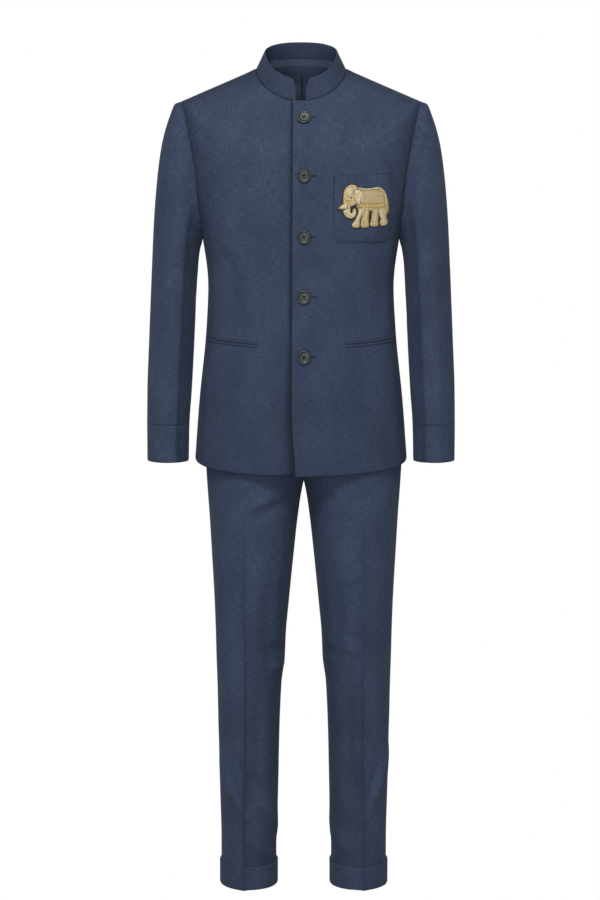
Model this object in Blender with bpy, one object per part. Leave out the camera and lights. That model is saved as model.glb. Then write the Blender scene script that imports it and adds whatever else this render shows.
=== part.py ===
"""A jodhpuri suit in navy linen: a bandhgala jacket with a stand collar, and slim trousers with turn-ups.

The suit is filled out as if worn. Each cut piece of cloth is a thin closed wall, built from a grid of
points on the cloth's outer face. Pieces that are sewn together share the points of their seam, and each
draws back from it a little. Sizes below are in millimetres. The front faces -Y, up is +Z, and the
origin is at the neck, level with the side neck points.
"""

import math

import bpy
import numpy as np
from mathutils import Vector
from mathutils.bvhtree import BVHTree
from mathutils.geometry import delaunay_2d_cdt

MM = 0.001

# Cloth
JACKET_CLOTH = 1.8
TROUSER_CLOTH = 1.4
LINING_CLOTH = 1.0
SEAM_GAP = 0.3
LIE_GAP = 0.5
LONGEST_MITRE = 2.5
MITRE_EASE = 0.004
CURVE_SAMPLES = 120

# A plane before the suit, from which pieces are seated on the cloth
BEFORE_SUIT = -150.0

# Jacket body: one row for each ring round it, from the neck seam down to the hem.
# A ring runs from centre front over the side to centre back; up to the shoulder tip its side
# point lies on the shoulder seam. squareness is the ring's superellipse power, and roundness
# says how far the ring levels out before it reaches its side point.
BODY_COLUMNS = (
    "station", "half_width", "front_depth", "back_depth", "front_z", "side_z", "back_z",
    "squareness", "roundness",
)
BODY_RINGS = (
    (0, 80.0, 74.0, 62.0, -56.0, 0.0, 12.0, 2.0, 0.15),
    (1, 146.0, 99.0, 87.0, -106.0, -28.0, -38.0, 2.15, 0.85),
    (2, 213.0, 112.0, 104.0, -160.0, -57.0, -105.0, 2.3, 1.0),
    (3, 206.0, 118.0, 113.0, -216.0, -140.0, -172.0, 2.4, 1.0),
    (4, 196.0, 118.5, 115.0, -264.0, -225.0, -240.0, 2.4, 1.0),
    (5, 176.0, 117.0, 111.0, -308.0, -305.0, -305.0, 2.4, 0.0),
    (6, 166.8, 110.5, 98.0, -390.0, -385.0, -385.0, 2.35, 0.0),
    (7, 170.8, 108.5, 95.0, -476.0, -470.0, -470.0, 2.35, 0.0),
    (8, 183.2, 113.0, 108.0, -600.0, -590.0, -590.0, 2.4, 0.0),
    (9, 191.4, 119.0, 117.0, -719.0, -697.0, -700.0, 2.4, 0.0),
)
NECK, SHOULDER_TIP, UNDERARM, HEM = 0, 2, 5, 9
SHOULDER_ROWS, ARMHOLE_ROWS, TORSO_ROWS = 4, 8, 9
FRONT_CELLS, BACK_CELLS = 10, 8

# How far the armhole reaches forward and back from the side line
ARMHOLE_FRONT = 58.0
ARMHOLE_BACK = 66.0

# Edge of the over front: its distance past centre front at each station
EDGE_COLUMNS = ("station", "past_centre")
FRONT_EDGE = ((0, 14.8), (5, 16.0), (8, 16.8), (9, 10.0))
UNDERLAP = 20.0
LAP_START, LAP_FULL = 62.0, 39.0

# Sleeve: one row for each ring round it, from the armhole to the cuff's edge.
# outer and inner are the ring's two ends seen from the front.
SLEEVE_COLUMNS = ("station", "outer_x", "outer_z", "inner_x", "inner_z", "half_depth", "centre_y")
SLEEVE_RINGS = (
    (0, 213.0, -57.0, 176.0, -305.0, 62.0, 4.0),
    (1, 225.0, -61.5, 177.6, -309.0, 65.0, 4.0),
    (2, 237.0, -88.0, 179.2, -314.0, 68.0, 4.0),
    (3, 249.0, -130.0, 180.8, -320.0, 70.0, 4.0),
    (4, 257.0, -182.0, 182.4, -329.0, 71.0, 5.0),
    (5, 264.5, -268.0, 185.0, -352.0, 70.5, 6.0),
    (6, 269.5, -370.0, 188.2, -402.0, 68.0, 7.0),
    (7, 274.3, -482.0, 192.3, -490.0, 63.5, 5.0),
    (8, 277.7, -575.0, 197.0, -577.0, 58.0, -3.0),
    (9, 278.0, -637.5, 201.0, -638.0, 53.5, -10.0),
    (10, 277.5, -700.5, 202.3, -701.0, 51.0, -16.0),
)
CUFF_SEAM, CUFF_EDGE = 9, 10
SLEEVE_ROWS = 15
CUFF_ROWS = 2
SLEEVE_POWER = 1.9
ARMHOLE_FADE = 4.0
FOREARM_SEAM, ELBOW_SEAM = 6, 11

# Stand collar: its top edge is a ring like those of the body
COLLAR_TOP = {
    "half_width": 64.0, "front_depth": 63.0, "back_depth": 52.0,
    "front_z": -18.0, "side_z": 33.0, "back_z": 49.0, "squareness": 2.5, "roundness": 0.1,
}
COLLAR_FRONT_EDGE = 9.2
COLLAR_EDGE_LEAN = 3.0
COLLAR_CORNER = 17.0
COLLAR_CORNER_DROP = 18.0
COLLAR_ROWS = 3
COLLAR_CLOTH = 2.2
COLLAR_SEAM = 0.7

# Lining of the upper back
LINING_ROWS = 5
LINING_CELLS = 6
PLEAT_RISE = 3.0

# Chest pocket and its applique, both moved out from the chest along CHEST_FACING
CHEST_FACING = np.array([math.sin(math.radians(24)), -math.cos(math.radians(24)), 0.0])
POCKET_LEFT, POCKET_RIGHT = 57.0, 158.0
POCKET_TOP, POCKET_BOTTOM = -187.0, -306.0
POCKET_CORNER = 15.0
POCKET_CLOTH = 1.2
POCKET_GAP = 1.1
POCKET_CELLS, POCKET_ROWS = 8, 8
ELEPHANT_CENTRE = (108.5, -241.5)
ELEPHANT_RIM, ELEPHANT_RISE, ELEPHANT_ROUNDING = 0.9, 1.3, 5.0
ELEPHANT_GAP = 0.8
ELEPHANT_GRID, ELEPHANT_INSET = 6.5, 3.0

# Lower pockets: two narrow jettings each, level with the waist
WELT_SLIT_Z, WELT_RISE = -486.0, 6.0
WELT_HEIGHT, WELT_CLOTH, WELT_SPLIT, WELT_GAP = 4.4, 1.2, 0.3, 0.9
WELT_FROM, WELT_TO = 23.0, 80.0
WELT_CELLS = 12

# Buttons
BUTTON_X = 5.0
BUTTON_HEIGHTS = (-86.0, -188.0, -295.0, -401.5, -508.0)
BUTTON_RADIUS = 12.3
BUTTON_HEIGHT = 3.6
BUTTON_SIDES = 18
BUTTON_STANDS = 0.6
WAIST_BUTTON_RADIUS, WAIST_BUTTON_HEIGHT, WAIST_BUTTON_X = 8.0, 2.6, 3.0

# Trouser leg: one row for each level. outer and inner are measured from the trousers' middle, and an
# inner value below zero lies past the middle, where the seat seam cuts the leg off.
LEG_COLUMNS = ("z", "outer", "inner", "front_depth", "back_depth", "crease")
LEG_LEVELS = (
    (-500.0, 150.0, -150.0, 92.0, 86.0, 0.0),
    (-570.0, 160.0, -118.0, 95.0, 98.0, 0.0),
    (-640.0, 169.0, -70.0, 97.0, 104.5, 0.0),
    (-700.0, 177.0, -22.0, 98.0, 102.0, 0.8),
    (-740.0, 175.0, 0.0, 99.0, 100.0, 1.2),
    (-800.0, 170.8, 10.2, 98.0, 97.0, 2.0),
    (-870.0, 166.8, 18.0, 95.0, 91.0, 3.0),
    (-960.0, 162.0, 27.0, 86.0, 83.0, 4.0),
    (-1020.0, 160.0, 32.5, 79.0, 78.0, 4.6),
    (-1062.0, 159.0, 34.2, 76.0, 76.0, 5.0),
    (-1110.0, 157.4, 40.4, 74.0, 75.0, 5.2),
    (-1210.0, 155.2, 44.6, 71.0, 73.0, 5.6),
    (-1300.0, 153.3, 46.5, 69.0, 71.0, 6.0),
    (-1400.0, 150.9, 50.0, 67.0, 69.0, 6.0),
    (-1480.0, 151.0, 50.3, 66.0, 68.0, 6.0),
)
TROUSER_SHIFT = 5.0
LEG_MIDDLE = 90.0
WAIST_Z, CROTCH_Z, LEG_END_Z = -500.0, -740.0, -1479.0
RISE_ROWS, LEG_ROWS = 6, 14
LEG_CELLS = 8
LEG_POWER = 2.05
CREASE_X = 108.5
CREASE_FALL = 10.0
WAISTBAND_HEIGHT = 38.0
WAISTBAND_CELLS = 32

# The waistband goes a little more than once round, in degrees from centre front. Its last stretch
# tucks in behind its first.
WAISTBAND_FROM, WAISTBAND_TO = -9.0, 376.0
TUCK_FROM, TUCK_FULL = 325.0, 349.0
TUCK_DEPTH = 2.3

FLY_START, FLY_WIDTH, FLY_LENGTH = 2.0, 36.0, 150.0
FLY_TOP, FLY_GAP = 3.0, 0.6
FLY_CELLS = 4
TURN_UP_TOP, TURN_UP_BOTTOM = -1438.0, -1481.0
TURN_UP_CLOTH = 2.4

LINEN = (0.045, 0.075, 0.135, 1.0)
LINING = (0.022, 0.032, 0.062, 1.0)
HORN = (0.035, 0.030, 0.030, 1.0)
GOLD_THREAD = (0.62, 0.47, 0.24, 1.0)


def between(rows, columns, station):
    """A table's values at a station between its rows, on smooth curves that never overshoot."""
    table = np.array(rows, float)
    at = np.clip(station, *sorted((table[0, 0], table[-1, 0])))
    if table[0, 0] > table[-1, 0]:
        table = table[::-1]
    k = int(np.clip(np.searchsorted(table[:, 0], at) - 1, 0, len(table) - 2))
    width = np.diff(table[:, 0])
    slope = np.diff(table, axis=0) / width[:, None]
    ends = np.empty_like(table)
    ends[0], ends[-1] = slope[0], slope[-1]
    before, after = slope[:-1], slope[1:]
    same_way = before * after > 0
    total = np.where(same_way, before + after, 1.0)
    ends[1:-1] = np.where(same_way, 2 * before * after / total, 0.0)
    t = (at - table[k, 0]) / width[k]
    rise = t * t * (3 - 2 * t)
    values = (
        table[k] * (1 - rise)
        + table[k + 1] * rise
        + width[k] * (ends[k] * t * (1 - t) ** 2 - ends[k + 1] * t * t * (1 - t))
    )
    return dict(zip(columns, values))


def evenly_spaced(points, cells):
    """The same line with its points spaced evenly along its length."""
    points = np.array(points)
    steps = np.linalg.norm(np.diff(points, axis=0), axis=1)
    length = np.concatenate([[0.0], np.cumsum(steps)])
    wanted = np.linspace(0.0, length[-1], cells + 1)
    return np.stack([np.interp(wanted, length, points[:, k]) for k in range(3)], axis=1)


def signed_power(value, power):
    return math.copysign(abs(value) ** power, value)


def ring_point(ring, angle):
    """A point of a body ring: 0 is centre front, 90 the side and 180 centre back."""
    turn = math.radians(angle)
    power = 2 / ring["squareness"]
    front = abs(angle) <= 90
    depth = ring["front_depth"] if front else ring["back_depth"]
    end_z = ring["front_z"] if front else ring["back_z"]
    near_side = 1 - abs(math.cos(turn))
    level = near_side + ring["roundness"] * near_side * (1 - near_side)
    return (
        ring["half_width"] * signed_power(math.sin(turn), power),
        -depth * signed_power(math.cos(turn), power),
        end_z + (ring["side_z"] - end_z) * level,
    )


def body_ring(station):
    return between(BODY_RINGS, BODY_COLUMNS, station)


def angle_across(ring, x):
    """The angle at which a ring's front half reaches x."""
    share = signed_power(x / ring["half_width"], ring["squareness"] / 2)
    return math.degrees(math.asin(share))


def angle_at_depth(ring, y, side):
    """The angle at which a ring's front or back half comes within y of the side line."""
    share = (y / ring[side + "_depth"]) ** (ring["squareness"] / 2)
    angle = math.degrees(math.acos(share))
    return angle if side == "front" else 180 - angle


def body_stations():
    """Each row's station, and how far round the armhole it is, from 0 at the tip to 1 underarm."""
    rows = [(k * SHOULDER_TIP / SHOULDER_ROWS, 0.0) for k in range(SHOULDER_ROWS)]
    for k in range(ARMHOLE_ROWS + 1):
        share = k / ARMHOLE_ROWS
        down = (1 - math.cos(math.pi * share)) / 2
        rows.append((SHOULDER_TIP + (UNDERARM - SHOULDER_TIP) * down, share))
    for k in range(1, TORSO_ROWS + 1):
        rows.append((UNDERARM + (HEM - UNDERARM) * k / TORSO_ROWS, 1.0))
    return rows


def arc(ring, start, end, cells):
    angles = np.linspace(start, end, CURVE_SAMPLES)
    return evenly_spaced([ring_point(ring, angle) for angle in angles], cells)


def lap(x):
    """How far the under front lies behind the over front at x."""
    share = min(max((LAP_START + x) / (LAP_START - LAP_FULL), 0.0), 1.0)
    return (JACKET_CLOTH + LIE_GAP) * share * share * (3 - 2 * share)


def front_grid(over):
    """The front, from its free edge to the shoulder, armhole and side."""
    grid = []
    for station, share in body_stations():
        ring = body_ring(station)
        past = between(FRONT_EDGE, EDGE_COLUMNS, station)["past_centre"] if over else UNDERLAP
        side = angle_at_depth(ring, ARMHOLE_FRONT * math.sin(math.pi * share), "front")
        grid.append(arc(ring, angle_across(ring, -past), side, FRONT_CELLS))
    grid = np.array(grid)
    if not over:
        behind = np.vectorize(lap)(-grid[..., 0])
        grid -= outward_normals(grid, (0.0, 0.0)) * behind[..., None]
    return grid


def back_grid():
    """Half the back, from the centre back seam to the shoulder, armhole and side."""
    grid = []
    for station, share in body_stations():
        ring = body_ring(station)
        side = angle_at_depth(ring, ARMHOLE_BACK * math.sin(math.pi * share), "back")
        grid.append(arc(ring, 180.0, side, BACK_CELLS))
    return np.array(grid)


def mirrored(grid):
    return grid * np.array([-1.0, 1.0, 1.0])


def sleeve_oval(station, turn):
    """A point round a sleeve ring: 0 is outermost, a quarter turn is the front."""
    ring = between(SLEEVE_RINGS, SLEEVE_COLUMNS, station)
    outer = np.array([ring["outer_x"], 0.0, ring["outer_z"]])
    inner = np.array([ring["inner_x"], 0.0, ring["inner_z"]])
    along = signed_power(math.cos(turn), 2 / SLEEVE_POWER)
    across = signed_power(math.sin(turn), 2 / SLEEVE_POWER)
    point = (outer + inner) / 2 + (outer - inner) / 2 * along
    point[1] = ring["centre_y"] - ring["half_depth"] * across
    return point


def sleeve_grid(front, back):
    """Rings round the whole sleeve, the first on the armhole's own points."""
    top, low = SHOULDER_ROWS, SHOULDER_ROWS + ARMHOLE_ROWS
    armhole = np.concatenate([front[top:low, -1], back[low:top:-1, -1], front[top : top + 1, -1]])
    turns = np.linspace(0.0, 2 * math.pi, len(armhole))
    stations = list(np.linspace(0.0, CUFF_SEAM, SLEEVE_ROWS + 1))
    stations += list(np.linspace(CUFF_SEAM, CUFF_EDGE, CUFF_ROWS + 1))[1:]
    away = armhole - np.array([sleeve_oval(0.0, turn) for turn in turns])
    grid = []
    for station in stations:
        fade = max(1.0 - station / ARMHOLE_FADE, 0.0) ** 2
        oval = np.array([sleeve_oval(station, turn) for turn in turns])
        grid.append(oval + fade * away)
    return np.array(grid)


def leg_section(z):
    return between(LEG_LEVELS, LEG_COLUMNS, z)


def leg_point(section, turn, side):
    """A point round a leg: 0 is the inseam and half a turn the side seam, by the front or the back."""
    middle = (section["outer"] + section["inner"]) / 2
    half = (section["outer"] - section["inner"]) / 2
    x = middle - half * signed_power(math.cos(turn), 2 / LEG_POWER)
    depth = section[side + "_depth"] * signed_power(math.sin(turn), 2 / LEG_POWER)
    ridge = section["crease"] * math.exp(-abs(x - CREASE_X) / CREASE_FALL)
    y = depth + ridge * math.sin(turn)
    return (x, -y if side == "front" else y, section["z"])


def leg_turn(section, x):
    middle = (section["outer"] + section["inner"]) / 2
    half = (section["outer"] - section["inner"]) / 2
    share = min(max((middle - x) / half, -1.0), 1.0)
    return math.acos(signed_power(share, LEG_POWER / 2))


def leg_row(z, side):
    """One row of a trouser panel: from the seat seam or inseam, over the crease, to the side seam."""
    section = leg_section(z)
    start = leg_turn(section, 0.0) if section["inner"] < 0 else 0.0
    crease = leg_turn(section, CREASE_X)
    half = LEG_CELLS // 2
    parts = []
    for low, high in ((start, crease), (crease, math.pi)):
        turns = np.linspace(low, high, CURVE_SAMPLES)
        parts.append(evenly_spaced([leg_point(section, turn, side) for turn in turns], half))
    row = np.concatenate([parts[0], parts[1][1:]])
    if section["inner"] < 0:
        row[0, 0] = 0.0
    return row


def leg_heights():
    rise = [CROTCH_Z + (WAIST_Z - CROTCH_Z) * (k / RISE_ROWS) ** 2 for k in range(RISE_ROWS, 0, -1)]
    fall = [CROTCH_Z + (TURN_UP_TOP - CROTCH_Z) * (k / LEG_ROWS) ** 1.35 for k in range(LEG_ROWS + 1)]
    return rise + fall + [LEG_END_Z]


def leg_grid(side):
    return np.array([leg_row(z, side) for z in leg_heights()])


def face_normals(grid):
    """The unit normal at each point of a grid, from the cells that meet there."""
    across = grid[:-1, 1:] - grid[1:, :-1]
    down = grid[1:, 1:] - grid[:-1, :-1]
    cells = np.cross(down, across)
    points = np.zeros_like(grid)
    for rows in (slice(0, -1), slice(1, None)):
        for columns in (slice(0, -1), slice(1, None)):
            points[rows, columns] += cells
    return points / np.linalg.norm(points, axis=2, keepdims=True)


def outward_normals(grid, inside):
    """A grid's normals, turned away from a point inside the garment."""
    normals = face_normals(grid)
    middle = np.array([inside[0], inside[1], grid[..., 2].mean()])
    return normals if (normals * (grid - middle)).sum() > 0 else -normals


def key_of(point):
    return tuple(np.round(point, 3) + 0.0)


class Garment:
    """The cut pieces of one garment, which share the points of their seams."""

    def __init__(self, cloth):
        self.cloth = cloth
        self.grids = {}
        self.normals = {}

    def add(self, name, grid, inside):
        """A piece, and a point inside the garment that tells the outer face from the inner."""
        self.grids[name] = grid
        self.normals[name] = outward_normals(grid, inside)

    def sew(self):
        """Each point's way through the cloth, mitred where pieces meet, and its draw from the seam."""
        meeting, owners = {}, {}
        for name, grid in self.grids.items():
            for (i, j), normal in zip(np.ndindex(grid.shape[:2]), self.normals[name].reshape(-1, 3)):
                key = key_of(grid[i, j])
                meeting.setdefault(key, []).append(normal)
                owners.setdefault(key, set()).add((name, j == grid.shape[1] - 1))
        through = {key: self.mitre(normals) for key, normals in meeting.items()}
        self.through, self.moved = {}, {}
        for name, grid in self.grids.items():
            ways = [through[key_of(point)] for point in grid.reshape(-1, 3)]
            self.through[name] = np.array(ways).reshape(grid.shape)
            self.moved[name] = grid + self.drawn_back(name, owners)

    def mitre(self, normals):
        """The shortest step that leaves the same cloth thickness behind every face that meets here."""
        faces = np.array(normals)
        alike = faces @ faces.T + MITRE_EASE * np.eye(len(faces))
        step = faces.T @ np.linalg.solve(alike, np.ones(len(faces)))
        length = np.linalg.norm(step)
        return step * self.cloth * min(1.0, LONGEST_MITRE / length)

    def drawn_back(self, name, owners):
        """Half the seam gap, away from every edge that is sewn to another piece."""
        grid, through = self.grids[name], self.through[name]
        moves = np.zeros_like(grid)
        last_row, last_column = grid.shape[0] - 1, grid.shape[1] - 1
        edges = (
            [((0, j), (1, j)) for j in range(last_column + 1)],
            [((last_row, j), (last_row - 1, j)) for j in range(last_column + 1)],
            [((i, 0), (i, 1)) for i in range(last_row + 1)],
            [((i, last_column), (i, last_column - 1)) for i in range(last_row + 1)],
        )
        for edge in edges:
            shared = [owners[key_of(grid[at])] - {(name, at[1] == last_column)} for at, _ in edge]
            for k, (at, inward) in enumerate(edge):
                beside = [n for n in (k - 1, k + 1) if 0 <= n < len(edge)]
                sewn = [n for n in beside if shared[k] & shared[n]]
                if not sewn:
                    continue
                ends = [edge[n][0] for n in sewn] if len(sewn) > 1 else [at, edge[sewn[0]][0]]
                away = np.cross(grid[ends[0]] - grid[ends[1]], through[at])
                away /= np.linalg.norm(away)
                if away @ (grid[inward] - grid[at]) < 0:
                    away = -away
                moves[at] += away * SEAM_GAP / 2
        return moves

    def wall(self, name, material):
        outer = self.moved[name]
        return add_wall(name, outer, outer - self.through[name], material)

    def surface(self, name):
        """The outer face of a piece, to seat other pieces on."""
        outer = self.moved[name]
        points = [Vector(point) for point in outer.reshape(-1, 3)]
        return BVHTree.FromPolygons(points, cell_triangles(outer, closed=False))


def cell_triangles(grid, closed):
    """Two triangles for each cell, parted along its shorter diagonal."""
    rows, columns = grid.shape[:2]
    faces = []
    for i in range(rows - 1):
        for j in range(columns if closed else columns - 1):
            right = (j + 1) % columns
            a, b = i * columns + j, i * columns + right
            c, d = (i + 1) * columns + right, (i + 1) * columns + j
            one = np.linalg.norm(grid[i, j] - grid[i + 1, right])
            other = np.linalg.norm(grid[i, right] - grid[i + 1, j])
            faces += [(a, b, c), (a, c, d)] if one <= other else [(a, b, d), (b, c, d)]
    return faces


def rim_loop(rows, columns):
    """The points round a grid's edge, in order."""
    loop = [j for j in range(columns)]
    loop += [i * columns + columns - 1 for i in range(1, rows)]
    loop += [(rows - 1) * columns + j for j in range(columns - 2, -1, -1)]
    return loop + [i * columns for i in range(rows - 2, 0, -1)]


def add_wall(name, outer, inner, material, closed=False):
    """A closed wall between two grids of like shape, as one object. A closed grid goes right round."""
    rows, columns = outer.shape[:2]
    count = rows * columns
    faces = cell_triangles(outer, closed)
    faces += [(c + count, b + count, a + count) for a, b, c in faces]
    loops = [rim_loop(rows, columns)]
    if closed:
        loops = [list(range(columns)), [(rows - 1) * columns + j for j in reversed(range(columns))]]
    for loop in loops:
        for k, a in enumerate(loop):
            b = loop[(k + 1) % len(loop)]
            faces += [(b, a, a + count), (b, a + count, b + count)]
    points = np.concatenate([outer.reshape(-1, 3), inner.reshape(-1, 3)])
    return add_object(name, points, faces, material)


def volume_of(points, faces):
    corners = points[np.array(faces)]
    return np.einsum("ij,ij->i", corners[:, 0], np.cross(corners[:, 1], corners[:, 2])).sum() / 6


def add_object(name, points, faces, material):
    """A mesh object with its faces turned outwards. Points are in millimetres."""
    points = np.array(points, float)
    if volume_of(points - points.mean(axis=0), faces) < 0:
        faces = [tuple(reversed(face)) for face in faces]
    mesh = bpy.data.meshes.new(name)
    mesh.from_pydata((points * MM).tolist(), [], faces)
    mesh.validate()
    mesh.shade_smooth()
    mesh.set_sharp_from_angle(angle=math.radians(50))
    mesh.materials.append(material)
    made = bpy.data.objects.new(name, mesh)
    bpy.context.scene.collection.objects.link(made)
    return made


def add_material(name, colour, roughness, metallic=0.0):
    material = bpy.data.materials.new(name)
    material.use_nodes = True
    shader = material.node_tree.nodes["Principled BSDF"]
    shader.inputs["Base Color"].default_value = colour
    shader.inputs["Roughness"].default_value = roughness
    shader.inputs["Metallic"].default_value = metallic
    return material


def seated(surface, point, outward, gap):
    """The point of a surface straight behind a place in front of it, moved out by a gap."""
    outward = Vector(outward).normalized()
    start = Vector(point) + outward * 60.0
    hit, _, _, _ = surface.ray_cast(start, -outward)
    return np.array(hit + outward * gap)


def make_body(linen):
    jacket = Garment(JACKET_CLOTH)
    front, back = front_grid(over=True), back_grid()
    under = mirrored(front_grid(over=False))
    sleeve = sleeve_grid(front, back)
    top, low = SHOULDER_ROWS, SHOULDER_ROWS + ARMHOLE_ROWS
    under[top : low + 1, -1] = mirrored(front[top : low + 1, -1])
    jacket.add("front_left", front, (0.0, 0.0))
    jacket.add("front_right", under, (0.0, 0.0))
    jacket.add("back_left", back, (0.0, 0.0))
    jacket.add("back_right", mirrored(back), (0.0, 0.0))
    for side, turned in (("left", sleeve), ("right", mirrored(sleeve))):
        middle = (turned[..., 0].mean(), 0.0)
        long, cuff = turned[: SLEEVE_ROWS + 1], turned[SLEEVE_ROWS:]
        round_top = np.concatenate([long[:, ELBOW_SEAM:-1], long[:, : FOREARM_SEAM + 1]], axis=1)
        round_cuff = np.concatenate([cuff[:, ELBOW_SEAM:-1], cuff[:, : ELBOW_SEAM + 1]], axis=1)
        jacket.add("sleeve_top_" + side, round_top, middle)
        jacket.add("sleeve_under_" + side, long[:, FOREARM_SEAM : ELBOW_SEAM + 1], middle)
        jacket.add("cuff_" + side, round_cuff, middle)
    jacket.sew()
    for name in jacket.grids:
        jacket.wall(name, linen)
    return jacket


def neck_line(jacket):
    """The neck seam's points from the left collar edge round the back to the right collar edge."""
    left, right = jacket.moved["front_left"][0], jacket.moved["front_right"][0]
    back_left, back_right = jacket.moved["back_left"][0], jacket.moved["back_right"][0]

    def from_collar_edge(row):
        away = row[:, 0] * np.sign(row[-1, 0])
        share = np.interp(COLLAR_FRONT_EDGE, away, range(len(row)))
        k = int(share)
        start = row[k] + (row[k + 1] - row[k]) * (share - k)
        return np.concatenate([[start], row[k + 1 :]])

    front_left = from_collar_edge(left)
    front_right = from_collar_edge(right)
    halves = [front_left[:-1], back_left[::-1][:-1], back_right[1:], front_right[::-1][1:]]
    return np.concatenate(halves)


def make_collar(jacket, linen):
    """The stand collar, from the neck seam up to its ring, with its front corners rounded off."""
    base = neck_line(jacket)
    grid = [[] for _ in range(COLLAR_ROWS + 1)]
    neck = body_ring(NECK)
    for point in base:
        depth = neck["front_depth"] if point[1] < 0 else neck["back_depth"]
        angle = math.degrees(math.atan2(point[0] / neck["half_width"], -point[1] / depth))
        top = np.array(ring_point(COLLAR_TOP, angle))
        past_edge = abs(point[0]) - COLLAR_FRONT_EDGE if point[1] < 0 else COLLAR_CORNER
        rounding = max(1.0 - past_edge / COLLAR_CORNER, 0.0) ** 2 * COLLAR_CORNER_DROP
        if point[1] < 0:
            least = min(abs(point[0]), COLLAR_FRONT_EDGE + COLLAR_EDGE_LEAN)
            top[0] = math.copysign(max(abs(top[0]), least), point[0])
        rise = top - point
        height = np.linalg.norm(rise)
        for k in range(COLLAR_ROWS + 1):
            share = (COLLAR_SEAM + (height - COLLAR_SEAM - rounding) * k / COLLAR_ROWS) / height
            grid[k].append(point + rise * share)
    collar = Garment(COLLAR_CLOTH)
    collar.add("collar", np.array(grid), (0.0, 0.0))
    collar.sew()
    collar.wall("collar", linen)


def make_neck_lining(jacket, lining):
    """The lining behind the upper back, one piece with a pleat along its middle."""
    sides = []
    for name in ("back_left", "back_right"):
        rows, cells = slice(0, LINING_ROWS + 1), slice(0, LINING_CELLS + 1)
        grid = jacket.grids[name][rows, cells]
        inward = jacket.through[name][rows, cells] / JACKET_CLOTH
        sides.append((grid, inward))
    grid = np.concatenate([sides[0][0][:, :0:-1], sides[1][0]], axis=1)
    inward = np.concatenate([sides[0][1][:, :0:-1], sides[1][1]], axis=1)
    pleat = np.zeros(grid.shape[:2])
    pleat[1:, LINING_CELLS] = PLEAT_RISE
    outer = grid - inward * (JACKET_CLOTH + LIE_GAP + pleat)[..., None]
    add_wall("neck_lining", outer, outer - inward * LINING_CLOTH, lining)


def make_chest_pocket(jacket, linen):
    """The patch pocket, straight along its top and rounded at its two lower corners."""
    panel = jacket.surface("front_left")
    width = POCKET_RIGHT - POCKET_LEFT
    grid = np.zeros((POCKET_ROWS + 1, POCKET_CELLS + 1, 3))
    for j in range(POCKET_CELLS + 1):
        even = j / POCKET_CELLS
        closer_at_sides = (1 - math.cos(math.pi * even)) / 2
        across = (even + closer_at_sides) / 2
        from_side = min(across, 1 - across) * width
        short = max(POCKET_CORNER - from_side, 0.0)
        lift = POCKET_CORNER - math.sqrt(POCKET_CORNER**2 - short**2)
        for i in range(POCKET_ROWS + 1):
            z = POCKET_TOP + (POCKET_BOTTOM + lift - POCKET_TOP) * i / POCKET_ROWS
            spot = (POCKET_LEFT + across * width, BEFORE_SUIT, z)
            grid[i, j] = seated(panel, spot, (0, -1, 0), 0.0) + CHEST_FACING * POCKET_GAP
    outer = grid + CHEST_FACING * POCKET_CLOTH
    add_wall("chest_pocket", outer, grid, linen)
    points = [Vector(point) for point in outer.reshape(-1, 3)]
    return BVHTree.FromPolygons(points, cell_triangles(outer, closed=False))


def elephant_outline():
    """A walking elephant seen from its side, facing the wearer's right, as a closed line of (x, z)."""
    back = (
        (-34.0, 24.0), (-30.0, 32.5), (-22.0, 38.0), (-12.0, 35.5), (-2.0, 31.5), (12.0, 31.0),
        (26.0, 33.5), (36.5, 28.5), (42.0, 19.0), (44.5, 7.0),
    )
    tail = ((46.5, -9.0), (44.5, -13.5), (42.8, -8.0))
    hind_legs = (
        (42.5, -18.0), (45.0, -28.0), (41.5, -34.5), (32.0, -35.0), (30.0, -29.0), (31.0, -22.0),
        (27.8, -14.0), (26.5, -24.0), (28.0, -31.0), (25.0, -35.5), (15.0, -35.5), (13.0, -31.0),
        (15.5, -22.0), (16.5, -9.0),
    )
    forelegs = (
        (10.5, -9.0), (10.5, -17.0), (9.5, -27.0), (11.0, -33.0), (8.0, -37.0), (-1.5, -37.0),
        (-3.8, -28.0), (-6.0, -36.5), (-17.5, -37.0), (-19.5, -32.5), (-15.5, -26.0), (-11.0, -19.0),
        (-7.8, -13.0), (-7.6, -5.0),
    )
    jaw = ((-9.0, -0.5), (-14.0, 1.5), (-20.0, 0.5))
    trunk = (
        (-22.3, -4.0), (-21.6, -9.0), (-19.3, -10.5), (-17.2, -8.5), (-17.0, -4.0), (-14.0, -2.2),
        (-11.3, -4.5), (-10.9, -10.0), (-12.8, -16.0), (-17.0, -20.3), (-23.0, -21.8), (-29.5, -18.5),
        (-33.5, -12.0), (-35.0, -7.5),
    )
    tusk = ((-45.5, -3.2), (-36.0, 3.0), (-35.0, 10.0))
    return list(back + tail + hind_legs + forelegs + jaw + trunk + tusk)


def distance_to_line(point, line):
    nearest = float("inf")
    for a, b in zip(line, line[1:] + line[:1]):
        a, b = np.array(a), np.array(b)
        along = np.clip((point - a) @ (b - a) / ((b - a) @ (b - a)), 0.0, 1.0)
        nearest = min(nearest, np.linalg.norm(point - a - along * (b - a)))
    return nearest


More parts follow.
